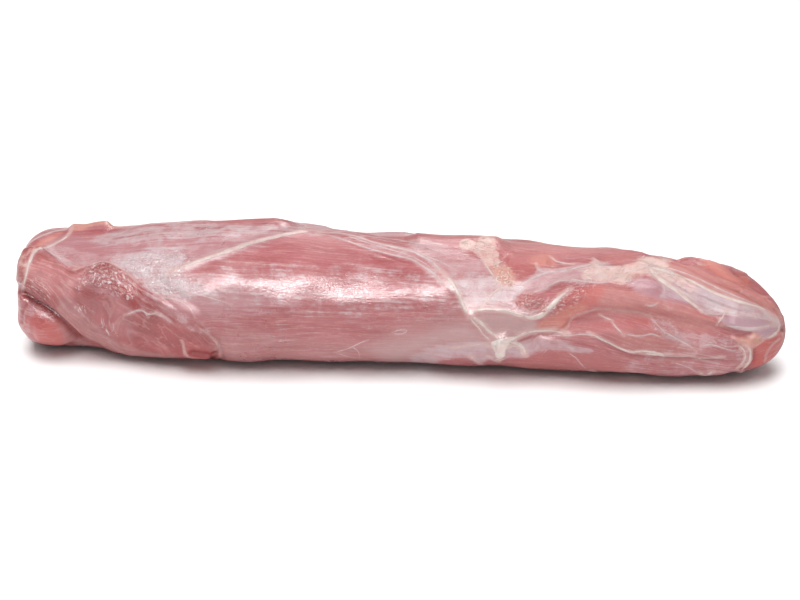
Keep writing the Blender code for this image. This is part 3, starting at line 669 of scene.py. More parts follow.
# Sinew, fat and web threads that lie on the meat: kind, half width in mm at the start, the
# middle and the end, and the line in photo pixels.
cords = {
    "arch": ("cream", (0.35, 0.62, 0.4), [
        (168, 273), (178, 269), (189, 264.5), (210, 257), (230, 250.5), (249, 244), (267, 239),
        (287, 234.5), (303, 232), (322, 231)]),
    "archTwin": ("cream", (0.2, 0.3, 0.2), [
        (216, 253), (236, 247), (258, 240.5), (282, 234.5), (300, 231)]),
    "bandTop": ("white", (0.3, 0.42, 0.5), [
        (318, 233), (339, 233), (359, 237), (371, 241.5), (396, 247.5), (413, 252),
        (430, 261), (441, 271), (449, 279)]),
    "bandFoot": ("white", (0.2, 0.3, 0.35), [
        (316, 235), (329, 235.5), (347, 241), (367, 248), (393, 255), (410, 259), (421, 265),
        (430, 271), (441, 280), (452, 290)]),
    "bandMiddle": ("white", (0.15, 0.22, 0.2), [
        (338, 232), (362, 241), (388, 249), (408, 255), (424, 263), (438, 274)]),
    "knotDown": ("cream", (0.6, 0.55, 0.75), [
        (444, 274), (451, 281), (455, 287), (459.5, 296), (462.5, 304), (466, 311), (471, 317)]),
    "knotRight": ("cream", (0.6, 0.55, 1.0), [
        (470, 317), (474, 312), (480, 309.5), (493, 309.5), (506, 311.5), (518, 315), (528, 318)]),
    "knotRightEnd": ("cream", (0.95, 0.85, 0.12), [
        (520, 316), (530, 318), (539, 316.5), (546, 311.5), (552, 305), (560, 297), (570, 289)]),
    "knotLow": ("cream", (0.65, 0.5, 0.4), [
        (470, 316), (476, 319), (481, 323), (489, 331), (496, 337), (501, 341)]),
    "knotLowTwin": ("cream", (0.35, 0.3, 0.2), [
        (468, 315), (473, 322), (478, 327), (484, 335), (491, 341)]),
    "starRight": ("cream", (0.9, 0.45, 0.2), [
        (508, 341), (516, 337.5), (524, 334), (534, 331.5), (551, 331), (568, 334)]),
    "starLow": ("fat", (0.8, 0.6, 0.3), [(510, 342), (518, 344), (524, 349), (526, 356)]),
    "starFoot": ("fat", (3.2, 2.3, 0.4), [(505, 340), (503, 345), (501, 351), (499, 360)]),
    "starFootSide": ("fat", (0.9, 0.7, 0.3), [(492, 344), (495, 349), (498, 355)]),
    "starHead": ("fat", (0.5, 1.3, 0.6), [(488, 345), (498, 342), (508, 340), (518, 337)]),
    "lowTagA": ("white", (0.5, 0.8, 0.3), [(470, 356), (476, 360), (481, 364)]),
    "lowTagB": ("white", (0.4, 0.6, 0.3), [(489, 357), (494, 360), (499, 362)]),
    "shoulderA": ("white", (0.15, 0.25, 0.15), [
        (345, 230), (367, 236), (396, 239.5), (417, 243.5), (432, 245), (447, 247.5)]),
    "shoulderB": ("white", (0.15, 0.22, 0.12), [
        (392, 245), (412, 250), (429, 257), (443, 263), (462, 274)]),
    "shoulderC": ("white", (0.1, 0.18, 0.1), [(372, 238), (398, 243), (424, 247), (446, 254)]),
    "patchThread": ("cream", (0.35, 0.25, 0.2), [
        (482, 260), (487, 267), (491, 272.5), (497, 280), (500, 286), (493, 293), (485, 303),
        (476, 311)]),
    "whiteCurve": ("pink", (0.25, 0.2, 0.12), [
        (562, 331), (568, 327), (570, 320.5), (575, 316), (582, 313.5), (590, 311), (600, 309),
        (620, 310.5), (638, 312.5), (652, 317)]),
    "creamLine": ("cream", (0.2, 0.5, 0.35), [
        (588, 333), (600, 338.5), (610, 343.5), (620, 348.5), (631, 351.8), (643, 351.2),
        (652, 352.2), (662, 354.3), (671, 355)]),
    "creamLineEnd": ("cream", (0.45, 0.25, 0.12), [
        (640, 352.5), (652, 354.5), (668, 356.3), (686, 356.8), (703, 358.5), (724, 357.5)]),
    "upperSeam": ("white", (0.15, 0.2, 0.12), [
        (545, 335), (564, 335.5), (586, 334.5), (600, 337)]),
    "headLine": ("cream", (0.4, 0.5, 0.4), [
        (72, 230), (66, 237), (57, 242.5), (47, 247.5), (38, 249), (32, 256), (28, 267),
        (25, 280), (22, 291)]),
    "headLineUp": ("white", (0.35, 0.4, 0.5), [
        (24, 251), (30, 243), (40, 236.5), (54, 231.5), (64, 230), (72, 230)]),
    "membraneLine": ("white", (0.3, 0.28, 0.15), [
        (43, 248), (50, 252), (57, 256.5), (67, 262.5), (79, 267)]),
    "flapRim": ("pink", (0.3, 0.4, 0.25), [
        (74, 269.5), (84, 266.5), (93, 263.5), (101, 261.5), (109, 262.5), (116, 266.5),
        (124, 270.5), (131, 275.5), (137, 282)]),
    "flapStar": ("white", (0.1, 0.3, 0.15), [
        (124, 315), (131, 313), (137, 310.8), (143, 311), (147, 314), (155, 314), (160, 316)]),
    "flapStarFoot": ("white", (0.25, 0.15, 0.1), [(142, 309.5), (145, 313), (148, 317.5)]),
    "slitRim": ("pink", (0.25, 0.4, 0.3), [
        (181, 343), (185, 351), (189, 357), (196, 362.5), (203, 364), (210, 361)]),
    "flapEnd": ("pink", (0.15, 0.3, 0.15), [
        (200, 330), (209, 336.5), (216, 343), (220, 350), (220, 359)]),
    "eyeThread": ("white", (0.15, 0.2, 0.1), [
        (168, 296), (175, 293.5), (183, 292.3), (196, 294), (213, 299), (232, 304.5)]),
    "eyeMembrane": ("white", (0.15, 0.18, 0.1), [
        (152, 292), (160, 297), (174, 299.5), (183, 303), (190, 308), (195, 318)]),
    "webA": ("white", (0.1, 0.17, 0.08), [
        (333, 352.5), (343, 350), (353, 346.5), (360, 343), (370, 339)]),
    "webB": ("white", (0.12, 0.16, 0.08), [
        (334, 352), (341, 354.5), (350, 357), (362, 358.5), (374, 361), (390, 364)]),
    "webC": ("white", (0.08, 0.14, 0.08), [(352, 347), (358, 351), (360, 358)]),
    "eyeLoop": ("white", (0.08, 0.15, 0.08), [
        (392, 332.5), (396, 330.8), (402, 329.8), (407, 330.5), (403, 333.5), (396, 334),
        (392, 332.5)]),
    "filmEdge": ("white", (0.2, 0.4, 0.25), [
        (510, 281), (515, 283), (521, 284), (531, 279.5), (543, 274), (557, 271.5), (577, 268),
        (597, 262.5)]),
    "filmTag": ("white", (0.35, 0.4, 0.1), [(536, 265), (539, 270), (546, 272.5), (554, 272)]),
    "filmTagB": ("white", (0.3, 0.35, 0.1), [(550, 256), (555, 260.5), (563, 263), (574, 264)]),
    "filmFoot": ("white", (0.15, 0.3, 0.2), [
        (524, 293), (533, 292), (545, 288), (558, 281.5), (574, 280), (596, 282.5), (620, 281)]),
    "topTag": ("white", (0.5, 0.35, 0.15), [(594, 258.5), (598, 263), (606, 266), (618, 267)]),
    "sheetA": ("cream", (0.4, 0.8, 0.4), [
        (640, 263), (655, 268), (672, 273), (690, 280), (710, 290.5), (731, 299), (752, 305),
        (766, 310), (775, 318)]),
    "sheetB": ("cream", (0.4, 0.9, 0.4), [
        (644, 262), (656, 276), (668, 284.5), (681, 294), (692, 303), (702, 311)]),
    "sheetC": ("white", (0.2, 0.22, 0.1), [
        (648, 270), (658, 279), (664, 287), (664, 295)]),
    "sheetD": ("white", (0.2, 0.26, 0.15), [
        (655, 266), (676, 270), (699, 279), (724, 291), (748, 301), (768, 308.5)]),
    "sheetFoot": ("white", (0.2, 0.35, 0.25), [
        (690, 302), (699, 309), (712, 313.5), (728, 314.5), (748, 317), (766, 319), (777, 326)]),
    "sheetTie": ("cream", (0.3, 0.35, 0.2), [(727, 309), (724, 315), (720, 320), (717, 325)]),
    "ovalShine": ("white", (0.3, 0.5, 0.3), [
        (722, 325), (735, 327.5), (748, 328.8), (763, 327), (775, 324.5)]),
    "tipRim": ("cream", (0.35, 0.45, 0.4), [
        (776, 316), (779, 323), (778, 330), (772, 336), (764, 339)]),
    "tipEdge": ("cream", (0.2, 0.45, 0.2), [
        (745, 345), (750, 350), (750, 359), (745, 367), (738, 373)]),
    "tipEdgeIn": ("cream", (0.15, 0.3, 0.15), [(738, 344), (745, 352), (744, 361), (736, 369)]),
    "starLeft": ("white", (0.5, 0.2, 0.12), [(498, 344), (489, 344), (474, 345), (452, 348)]),
    "tipStreak": ("pink", (0.2, 0.35, 0.15), [(765, 361), (767, 353), (771, 346), (779, 339)]),
    "threadA": ("white", (0.15, 0.25, 0.1), [(599, 314.5), (606, 318), (613, 320.5)]),
    "threadB": ("white", (0.12, 0.25, 0.1), [(611, 321), (617, 328), (624, 335.5)]),
    "threadC": ("white", (0.1, 0.22, 0.12), [
        (650, 315), (655, 322), (664, 331), (675, 338), (690, 346), (697, 352)]),
    "threadD": ("white", (0.15, 0.25, 0.1), [(646, 305), (652, 306), (658, 303)]),
    "threadE": ("white", (0.1, 0.2, 0.1), [(568, 352.5), (576, 358), (581, 364), (586, 369)]),
    "threadF": ("white", (0.12, 0.22, 0.1), [(622, 334), (640, 336), (652, 334), (664, 338)]),
    "threadG": ("white", (0.1, 0.2, 0.1), [(700, 346), (712, 345), (726, 349), (740, 352)]),
    "threadH": ("white", (0.1, 0.2, 0.1), [(672, 362), (690, 368), (702, 376)]),
    "belowTagA": ("pink", (0.4, 0.9, 0.2), [(592, 370), (598, 372.5), (604, 374.5)]),
    "belowTagB": ("cream", (0.4, 1.0, 0.3), [(624, 374), (634, 378), (646, 378)]),
    "belowTagC": ("cream", (0.5, 1.1, 0.2), [(700, 372), (704, 376.5), (709, 374), (713, 371)]),
    "backSinew": ("cream", (0.3, 0.6, 0.25), [], [
        (146, -44), (162, -56), (178, -62), (196, -70), (214, -66), (234, -58)]),
    "backSinewEnd": ("cream", (0.3, 0.5, 0.2), [], [
        (196, -70), (206, -80), (220, -88), (238, -92), (252, -100)]),
    "backFold": ("cream", (0.25, 0.45, 0.2), [], [
        (214, -62), (228, -56), (242, -60), (256, -68), (265, -82)]),
    "backThreadA": ("white", (0.12, 0.25, 0.1), [], [
        (56, -48), (80, -58), (106, -56), (134, -66), (150, -64)]),
    "backThreadB": ("white", (0.12, 0.25, 0.1), [], [
        (112, -106), (140, -98), (172, -104), (208, -96)]),
    "backThreadC": ("white", (0.12, 0.22, 0.1), [], [
        (30, -64), (40, -82), (52, -90), (60, -106)]),
    "backThreadD": ("white", (0.12, 0.22, 0.1), [], [
        (84, -84), (98, -90), (110, -100), (118, -112)]),
}

tissues = ["flap", "film", "silver", "orange", "fat", "mauve", "grey", "peach", "red", "lilac",
           "steel", "salmon", "coral"]
fieldLimit = 6.0                        # softnesses from an outline, past which nothing changes
fields = {tissue: np.full(len(flatBase), -fieldLimit) for tissue in tissues}
for tissue, soft, cover, pixels, under in patches.values():
    field = np.clip(patchField(pixels, soft, under), -fieldLimit, fieldLimit)
    fields[tissue] = np.maximum(fields[tissue], np.minimum(field, 2 * cover - 1))
print("patches laid:", len(patches))


def spread(areas):
    total = np.zeros(len(flatBase))
    for soft, strength, pixels in areas.values():
        field = np.clip(patchField(pixels, soft) * 0.5 + 0.5, 0, 1)
        total = np.maximum(total, strength * field * field * (3 - 2 * field))
    return total


crumple, dry = spread(crumples), spread(dryness)

# How many half widths a crease reaches, how fast its ends fade, and how deep in mm it is where its
# painted dark-red shade starts to show, and from there to full
creaseForm = {"reach": 4, "endFade": 8, "redFrom": 0.3, "redOver": 1.5}
relief = np.zeros(len(flatBase))
cutAndCreaseShade = np.zeros(len(flatBase))
for halfWidth, height, pixels, *under in creases.values():
    near, far, share = toLine(skinLine(pixels, under=under), creaseForm["reach"] * halfWidth * mm)
    fromEnds = creaseForm["endFade"] * np.array([share, 1 - share])
    press = np.exp(-(far / halfWidth) ** 2) * np.clip(fromEnds, 0, 1).prod(0)
    # Deeper creases get more painted dark-red shade
    red = min(1, max(0, (-height - creaseForm["redFrom"]) / creaseForm["redOver"]))
    relief[near] += height * press
    cutAndCreaseShade[near] = np.maximum(cutAndCreaseShade[near], press * red)
print("creases cut:", len(creases))

# Painted shade in dark red, partly the deeper red of cut flesh: in the slit and in spots along the lobe's
# fold. Softness, strength, pixels
openings = {
    "flapSlit": (0.7, 1.0, [
        (187, 351), (197, 350), (208, 351.5), (217, 354.5), (209, 358), (196, 357)]),
    "lobeCorner": (0.8, 0.9, [(20, 290), (27, 291), (34, 297), (30, 299), (24, 295)]),
    "lobeMiddle": (1.0, 0.7, [(46, 309), (56, 314), (64, 322), (58, 321), (50, 315)]),
}
cutAndCreaseShade = np.maximum(cutAndCreaseShade, spread(openings))

# Each cord sits on a low ridge of clear film: how far it reaches and rises, mm, and how
# plainly the thinnest shows
haloForm = {"reach": 0.6, "perWidth": 1.3, "rise": 0.25, "widest": 0.9, "shown": 0.45, "over": 3}
halo = np.zeros(len(flatBase))
for _, width, pixels, *under in cords.values():
    broad = min(max(width), haloForm["widest"])
    reach = haloForm["reach"] + haloForm["perWidth"] * broad
    near, far, _ = toLine(skinLine(pixels, under=under), haloForm["over"] * reach * mm)
    ridge = np.exp(-(far / reach) ** 2)
    halo[near] = np.maximum(halo[near], min(1.0, haloForm["shown"] + broad) * ridge)
    relief[near] += haloForm["rise"] * broad * ridge

grain = np.where(fields["flap"] > 0, fibreCourse(flapGuides, *guidePull["flap"]),
                 fibreCourse(fibreGuides, *guidePull["muscle"]))


def uneven(alongSize, acrossSize, seed):
    # Soft noise between -1 and 1 that follows the fibres; sizes in mm.
    places = zip(flatRun / alongSize, grain / acrossSize)
    return np.array([noise.noise(Vector((a, b, seed))) for a, b in places])


# How rough the muscle itself is, mm, at the middle and at the tail: bundles, fibres and, where
# it is crumpled, small folds. A noise is given by its size along and across, mm, and a seed.
rugged = {
    "bundles": (0.10, 0.34), "bundleNoise": (26, 3.2, 3.7),
    "fibres": (0.035, 0.09), "fibreNoise": (9, 1.3, 8.1),
    "folds": 0.2, "foldNoise": (2.4, 1.7, 1.3), "fineFolds": 0.6, "fineFoldNoise": (1.4, 1.2, 6.6),
    "from": 165.0, "to": 215.0,
}
tailward = between(flatRun, rugged["from"], rugged["to"])
for height in ("bundle", "fibre"):
    middleHeight, tailHeight = rugged[height + "s"]
    relief += (middleHeight + (tailHeight - middleHeight) * tailward) * uneven(*rugged[height + "Noise"])
folds = uneven(*rugged["foldNoise"]) + rugged["fineFolds"] * uneven(*rugged["fineFoldNoise"])
relief += rugged["folds"] * crumple * folds

flapLip = {                             # mm: how proud the flap stands, its edge, its rounded rim
    "rise": 2.0, "edge": 0.7, "steepness": 4, "bead": 0.3, "beadIn": 0.9,
    "sunkTip": 1.9, "tipLess": 0.6, "tipFrom": 46.0, "tipTo": 72.0,
    "headFrom": -6.0, "headTo": 4.0,    # it comes to nothing round the head end
}
flapEdge = fields["flap"] * 0.5         # mm in from the flap's outline
shape = radius.shape
step = 1 / (1 + np.exp(-flapLip["steepness"] * flapEdge / flapLip["edge"]))
blurred = softened(step.reshape(shape), *skin["softening"]).reshape(-1)
tipward = between(flatRun, flapLip["tipFrom"], flapLip["tipTo"])
lip = flapLip["rise"] * (1 - flapLip["tipLess"] * tipward) * (step - blurred)
lip -= flapLip["sunkTip"] * tipward * blurred
lip += flapLip["bead"] * np.exp(-((flapEdge - flapLip["beadIn"]) / flapLip["beadIn"]) ** 2)
relief += between(flatRun, flapLip["headFrom"], flapLip["headTo"]) * lip

points = flatBase + rays.reshape(-1, 3) * relief[:, None] * mm
points[:, 2] = np.maximum(points[:, 2], 0.0)


def skinMesh(name, points):
    ringCount, columnCount = shape
    head = points[:columnCount].mean(0)
    tail = points[-columnCount:].mean(0)
    verts = [tuple(p) for p in points] + [tuple(head), tuple(tail)]
    faces = list(skinFaces)
    last = (ringCount - 1) * columnCount
    for j in range(columnCount):
        k = (j + 1) % columnCount
        faces.append((len(points), j, k))
        faces.append((len(points) + 1, last + k, last + j))
    data = bpy.data.meshes.new(name)
    data.from_pydata(verts, [], faces)
    data.validate()
    data.shade_smooth()
    return data


meat = addObject("meat", skinMesh("meat", points))


def storeField(name, values):
    # One value for each skin point, and the mean of the last ring for each pole
    ends = [values[:shape[1]].mean(), values[-shape[1]:].mean()]
    stored = meat.data.attributes.new(name, "FLOAT", "POINT")
    stored.data.foreach_set("value", np.concatenate([values, ends]).astype(np.float32))


marks = {"run": flatRun, "grain": grain, "cutAndCreaseShade": cutAndCreaseShade, "halo": halo, "crumple": crumple, "dry": dry}
for name, values in {**fields, **marks}.items():
    storeField(name, values)


def fibreWays():
    # At each skin point, the way on the finished skin along which the grain stays the same
    grid, level = points.reshape(*shape, 3), grain.reshape(shape)
    onward, across = np.gradient(grid, axis=0), np.gradient(grid, axis=1)
    rise, climb = np.gradient(level, axis=0), np.gradient(level, axis=1)
    way = onward * climb[..., None] - across * rise[..., None]
    way *= np.sign(climb)[..., None]
    return (way / np.maximum(np.linalg.norm(way, axis=2, keepdims=True), 1e-9)).reshape(-1, 3)


# How thickly strands and grains lie, 0 to 1: on the named patches, or wherever a film shows
strewnOn = {
    "fatShare": ("creamPatch", "topTagFilm", "starFat", "backFat"),
    "peachShare": ("peachGrains",),
    "grainyShare": ("darkGrains",),
}
# Two noises that leave gaps between them, each with its strength, and where they lie closest
scatter = {
    "broad": (3.0, 2.2, 5.5), "broadShare": 1.6, "fine": (1.3, 1.1, 2.5), "fineShare": 0.9,
    "fullest": 1.2, "gain": 0.6,
}
gaps = uneven(*scatter["broad"]) * scatter["broadShare"]
gaps += uneven(*scatter["fine"]) * scatter["fineShare"]
for name, covered in strewnOn.items():
    outlines = [patches[patch][3:] for patch in covered]
    field = np.max([patchField(pixels, 1.0, under) for pixels, under in outlines], 0)
    close = np.minimum(field, scatter["fullest"]) + gaps
    storeField(name, np.clip(close * scatter["gain"], 0, 1))
filmy = np.maximum(fields["film"], fields["silver"])
storeField("filmyShare", np.clip(filmy * scatter["gain"], 0, 1))
ways = np.concatenate([fibreWays(), [(0, 1, 0), (0, 1, 0)]])
meat.data.attributes.new("fibreWay", "FLOAT_VECTOR", "POINT").data.foreach_set("vector", ways.reshape(-1))
print("meat mesh:", len(meat.data.vertices), "points")


def socketMaths(operation, turned=False):
    def reckon(self, other):
        pair = (other, self) if turned else (self, other)
        return self.tree.add("ShaderNodeMath", {"operation": operation}, dict(enumerate(pair)))
    return reckon


# Shader maths on sockets
class Wire:
    def __init__(self, tree, socket):
        self.tree, self.socket = tree, socket

    __add__ = socketMaths("ADD")
    __radd__ = socketMaths("ADD", True)
    __sub__ = socketMaths("SUBTRACT")
    __rsub__ = socketMaths("SUBTRACT", True)
    __mul__ = socketMaths("MULTIPLY")
    __rmul__ = socketMaths("MULTIPLY", True)
    atLeast = socketMaths("MAXIMUM")

    def awayFrom(self, value):
        return self.tree.add("ShaderNodeMath", {"operation": "ABSOLUTE"}, {0: self - value})

    def ramp(self, low, high, bottom=0.0, top=1.0):
        return self.tree.add("ShaderNodeMapRange", {"interpolation_type": "SMOOTHSTEP"},
                             {0: self, 1: low, 2: high, 3: bottom, 4: top})


class Recipe:
    def __init__(self, name):
        self.material = bpy.data.materials.new(name)
        self.material.use_nodes = True
        self.nodes = self.material.node_tree.nodes
        self.links = self.material.node_tree.links
        self.shader = self.nodes["Principled BSDF"]

    def add(self, kind, settings, inputs, output=0):
        node = self.nodes.new(kind)
        for key, value in settings.items():
            setattr(node, key, value)
        self.feed(node, inputs)
        return Wire(self, node.outputs[output])

    def feed(self, node, inputs):
        for key, value in inputs.items():
            if isinstance(value, Wire):
                self.links.new(value.socket, node.inputs[key])
            else:
                node.inputs[key].default_value = value

    def attribute(self, name):
        return self.add("ShaderNodeAttribute", {"attribute_name": name}, {}, 2)

    def noise(self, vector, scale, detail, roughness, distortion=0.0):
        return self.add("ShaderNodeTexNoise", {}, {
            "Vector": vector, "Scale": scale, "Detail": detail, "Roughness": roughness,
            "Distortion": distortion})

    def mix(self, amount, under, over):
        return self.add("ShaderNodeMix", {"data_type": "RGBA"}, {0: amount, 6: under, 7: over}, 2)

    def vector(self, x, y, z):
        return self.add("ShaderNodeCombineXYZ", {}, {0: x, 1: y, 2: z})

    def bump(self, height, strength, distance, below=None):
        inputs = {"Height": height, "Strength": strength, "Distance": distance}
        if below is not None:
            inputs["Normal"] = below
        return self.add("ShaderNodeBump", {}, inputs)


studioGain = (1.48, 1.58, 1.58)          # how brightly the studio lights each channel


def paint(red, green, blue):            # a colour as it looks under these lights, 0 to 255
    channels = [((c / 255 + 0.055) / 1.055) ** 2.4 / gain
                for c, gain in zip((red, green, blue), studioGain)]
    return (*channels, 1.0)


meatLook = {
    "eye": paint(193, 108, 112), "eyeDeep": paint(174, 80, 84), "flapRed": paint(186, 80, 80),
    "flapDeep": paint(154, 60, 62), "mauve": paint(204, 156, 162), "film": paint(214, 174, 178),
    "grey": paint(202, 166, 165), "silver": paint(224, 210, 213), "fat": paint(243, 219, 209),
    "fatThin": paint(218, 166, 156), "peach": paint(226, 168, 150), "orange": paint(214, 130, 114),
    "red": paint(190, 100, 98), "lilac": paint(200, 166, 178), "cutAndCreaseShade": paint(160, 18, 18),
    "fibre": paint(224, 168, 165), "steel": paint(212, 190, 196), "salmon": paint(208, 138, 130),
    "coral": paint(210, 82, 72), "halo": paint(226, 190, 184), "glint": paint(248, 240, 242),
    "roughness": 0.3, "gloss": 0.9, "dryer": 0.26,
    "wrinkle": 0.00016, "swell": 0.0003,   # m
    "contactShade": paint(104, 54, 54), "contactShadeHeight": 0.0045,    # painted shade, darker red towards the floor up to this height, m
    "subsurface": 0.2, "subsurfaceReach": (0.006, 0.0022, 0.0016),
    "wander": 1.6, "streaky": 1.9, "clumpy": 2.6, "ragged": 1.8,  # how strong these patterns are
    "tailFrom": 160.0, "tailTo": 215.0,    # mm, the tail is rougher
}
covers = {                              # how much of what is below each of these hides
    "fat": 0.82, "web": 0.4, "threads": 0.3, "halo": 0.75, "paintedGlints": 0.7, "cutAndCreaseShade": 0.92,
    "speckle": 0.12, "contactShade": 0.85,
}

# Patterns that run with the fibres: how many to a mm along and across, a shift that sets each
# apart, detail, roughness and distortion
fibrePatterns = {
    "broad": (0.02, 0.28, 0.0, 3, 0.5), "fine": (0.055, 0.95, 0.0, 4, 0.6),
    "hair": (0.11, 2.6, 0.0, 3, 0.6), "threads": (0.035, 0.5, 3.0, 4, 0.62, 0.3),
    "web": (0.1, 0.36, 7.0, 4, 0.6, 1.4), "paintedGlints": (0.7, 1.8, 5.0, 3, 0.6, 0.6),
    "wrinkles": (0.6, 2.0, 0.0, 3, 0.55, 0.5), "swell": (0.14, 0.5, 0.0, 3, 0.55, 0.4),
    "ripple": (0.9, 0.7, 9.0, 3, 0.6),
}
# Patterns with no direction: how many to a metre, detail, roughness and distortion
evenPatterns = {
    "wander": (45, 2, 0.55), "mottle": (60, 4, 0.6), "clumps": (210, 4, 0.62, 0.4),
    "rags": (560, 4, 0.65), "speckle": (1000, 3, 0.6), "folds": (900, 3, 0.65, 0.8),
}

# The tissues over the muscle, from the lowest up: how far streaks, clumps and rags break its
# edge, the edge's softness, how much it hides, and how plain its torn rim is. Only films have
# a rim, and clumps thin them.
tissueLayers = {
    "red": ((0.9, 0.5, 0), 0.9, 0.85, 0), "salmon": ((0.9, 0.5, 0), 1.0, 0.85, 0),
    "coral": ((0.6, 0, 0.7), 0.9, 0.9, 0), "mauve": ((1.2, 0, 0), 1.2, 0.8, 0),
    "grey": ((0.8, 0.3, 0), 1.3, 0.88, 0), "orange": ((0.7, 0, 0.7), 1.0, 0.85, 0),
    "film": ((1.3, 0.9, 0), 1.1, 0.48, 0.22), "steel": ((1.2, 0.5, 0), 1.0, 0.42, 0.2),
    "silver": ((1.3, 0.7, 0.5), 0.9, 0.52, 0.25), "peach": ((0, 0.6, 1.2), 0.8, 0.85, 0),
    "lilac": ((0.6, 0, 0), 0.9, 0.85, 0),
}


def meatMaterial():
    look = meatLook
    m = Recipe("rawPorkMuscle")
    place = m.add("ShaderNodeTexCoord", {}, {}, 3)
    run, crumple = m.attribute("run"), m.attribute("crumple")
    flap = m.attribute("flap").ramp(-0.3, 0.3)
    seen = {name: m.noise(place, *form) for name, form in evenPatterns.items()}
    course = m.attribute("grain") + (seen["wander"] - 0.5) * look["wander"]
    for name, (along, across, shift, *form) in fibrePatterns.items():
        seen[name] = m.noise(m.vector(run * along, course * across, shift), 1.0, *form)
    fine, hair, mottle, clumps = seen["fine"], seen["hair"], seen["mottle"], seen["clumps"]
    streaky = (fine - 0.5) * look["streaky"]
    clumpy = (clumps - 0.5) * look["clumpy"]
    ragged = (seen["rags"] - 0.5) * look["ragged"]

    # muscle
    tone = (seen["broad"] * 0.6 + mottle * 0.4).ramp(0.36, 0.64)
    colour = m.mix(tone, look["eyeDeep"], look["eye"])
    flapTone = (mottle * 0.5 + clumps * 0.3 + fine * 0.2).ramp(0.36, 0.62)
    colour = m.mix(flap, colour, m.mix(flapTone, look["flapDeep"], look["flapRed"]))
    pale = fine.ramp(0.53, 0.7) * 0.38 + hair.ramp(0.53, 0.68) * 0.36
    colour = m.mix(pale * (1 - flap * 0.65), colour, look["fibre"])
    dark = hair.ramp(0.46, 0.32) * 0.4 + fine.ramp(0.44, 0.32) * 0.25
    colour = m.mix(dark, colour, look["flapDeep"])

    # what lies over it
    thin = clumps.ramp(0.3, 0.62) * 0.4
    for tissue, (shares, soft, most, rim) in tissueLayers.items():
        field = m.attribute(tissue)
        for pattern, share in zip((streaky, clumpy, ragged), shares):
            if share:
                field = field + pattern * share
        hides = thin + most if rim else most
        colour = m.mix(field.ramp(-soft, soft) * hides, colour, look[tissue])
        if rim:
            colour = m.mix(field.awayFrom(0.0).ramp(0.3, 0.0) * rim, colour, look["silver"])
    fat = m.attribute("fat")
    fatTone = (fat * 0.3 + clumpy * 0.5 + ragged * 0.5).ramp(-0.2, 0.6)
    fatCover = (fat + clumpy * 1.1 + ragged * 0.9 + streaky * 0.5).ramp(-0.4, 0.8) * covers["fat"]
    colour = m.mix(fatCover, colour, m.mix(fatTone, look["fatThin"], look["fat"]))
    filmy = m.attribute("film").ramp(-1.0, 1.0).atLeast(m.attribute("silver").ramp(-1.0, 1.0))
    webLines = seen["web"].awayFrom(0.5).ramp(0.03, 0.0)
    colour = m.mix(webLines * filmy * covers["web"], colour, look["silver"])
    threadLines = seen["threads"].awayFrom(0.5).ramp(0.022, 0.0)
    colour = m.mix(threadLines * covers["threads"], colour, look["fibre"])
    halo = (m.attribute("halo") + ragged * 0.3).ramp(0.25, 1.0)
    colour = m.mix(halo * covers["halo"], colour, look["halo"])
    # Painted glints: pale specks where the skin is crumpled
    paintedGlints = seen["paintedGlints"].ramp(0.53, 0.68)
    colour = m.mix(paintedGlints * crumple * covers["paintedGlints"], colour, look["glint"])
    # Painted dark-red shade in deep creases, the slit and the fold, partly the deeper red of cut flesh
    colour = m.mix(m.attribute("cutAndCreaseShade") * covers["cutAndCreaseShade"], colour, look["cutAndCreaseShade"])
    speckle = (seen["speckle"] - 0.5).ramp(0.02, 0.3)
    colour = m.mix(speckle * covers["speckle"], colour, look["silver"])
    # Painted shade: darker red towards the floor, where the meat meets it
    above = m.add("ShaderNodeSeparateXYZ", {}, {0: place}, 2)
    colour = m.mix(above.ramp(look["contactShadeHeight"], 0.0) * covers["contactShade"], colour, look["contactShade"])

    # surface
    tailward = run.ramp(look["tailFrom"], look["tailTo"])
    height = seen["wrinkles"] * 0.5 + seen["ripple"] * 0.4 + fine * 0.2 + hair * 0.1
    height = (height + seen["folds"] * (crumple * 2.6 + 0.05)) * (tailward * 1.3 + 1)
    small = m.bump(height, 1.0, look["wrinkle"])
    normal = m.bump(seen["swell"], 0.3, look["swell"], small)
    wet = look["roughness"] + (mottle - 0.5) * 0.2 + fatCover * 0.1 - crumple * 0.05
    rough = wet + m.attribute("dry") * look["dryer"] + tailward * 0.07
    m.feed(m.shader, {
        "Base Color": colour, "Roughness": rough, "Normal": normal,
        "Subsurface Weight": look["subsurface"], "Subsurface Radius": look["subsurfaceReach"],
        "Subsurface Scale": 1.0, "Specular IOR Level": look["gloss"], "IOR": 1.45,
    })
    return m.material


meat.data.materials.append(meatMaterial())
print("muscle material done")


# Cords, webs and fat: lines on the finished skin, given a flattened round section
meatTree = BVHTree.FromPolygons([tuple(p) for p in points], skinFaces)
cordForm = {
    "flatness": 0.21, "sides": 10, "lump": 0.28, "lumpScale": 480.0, "wander": 0.0006,
    "wanderScale": 300.0, "seed": 4,
}
cordLay = {
    "sink": 0.08, "spacing": 2.0, "backSpacing": 0.8,  # half widths, pixels, mm
    "fullness": 0.7, "uneven": 0.5, "unevenScale": 260,  # how the width changes on the way
    "tip": 0.25, "taper": 6, "tipSink": 0.3,
}
strandLook = {
    "cream": (paint(249, 229, 219), paint(236, 201, 192)),
    "white": (paint(238, 214, 214), paint(220, 180, 182)),
    "fat": (paint(255, 240, 232), paint(248, 216, 207)),
    "pink": (paint(226, 168, 164), paint(206, 136, 132)),
    "peachGrain": (paint(248, 212, 196), paint(236, 182, 166)),
    "redGrain": (paint(244, 182, 174), paint(214, 134, 128)),
}
strandFinish = {
    "roughness": 0.3, "uneven": 0.2, "gloss": 0.7, "relief": 0.0002,  # relief in m
    "subsurface": 0.3, "subsurfaceReach": (0.004, 0.0025, 0.002),
    "streaks": (330, 4, 0.6), "specks": (1400, 3, 0.6),
}


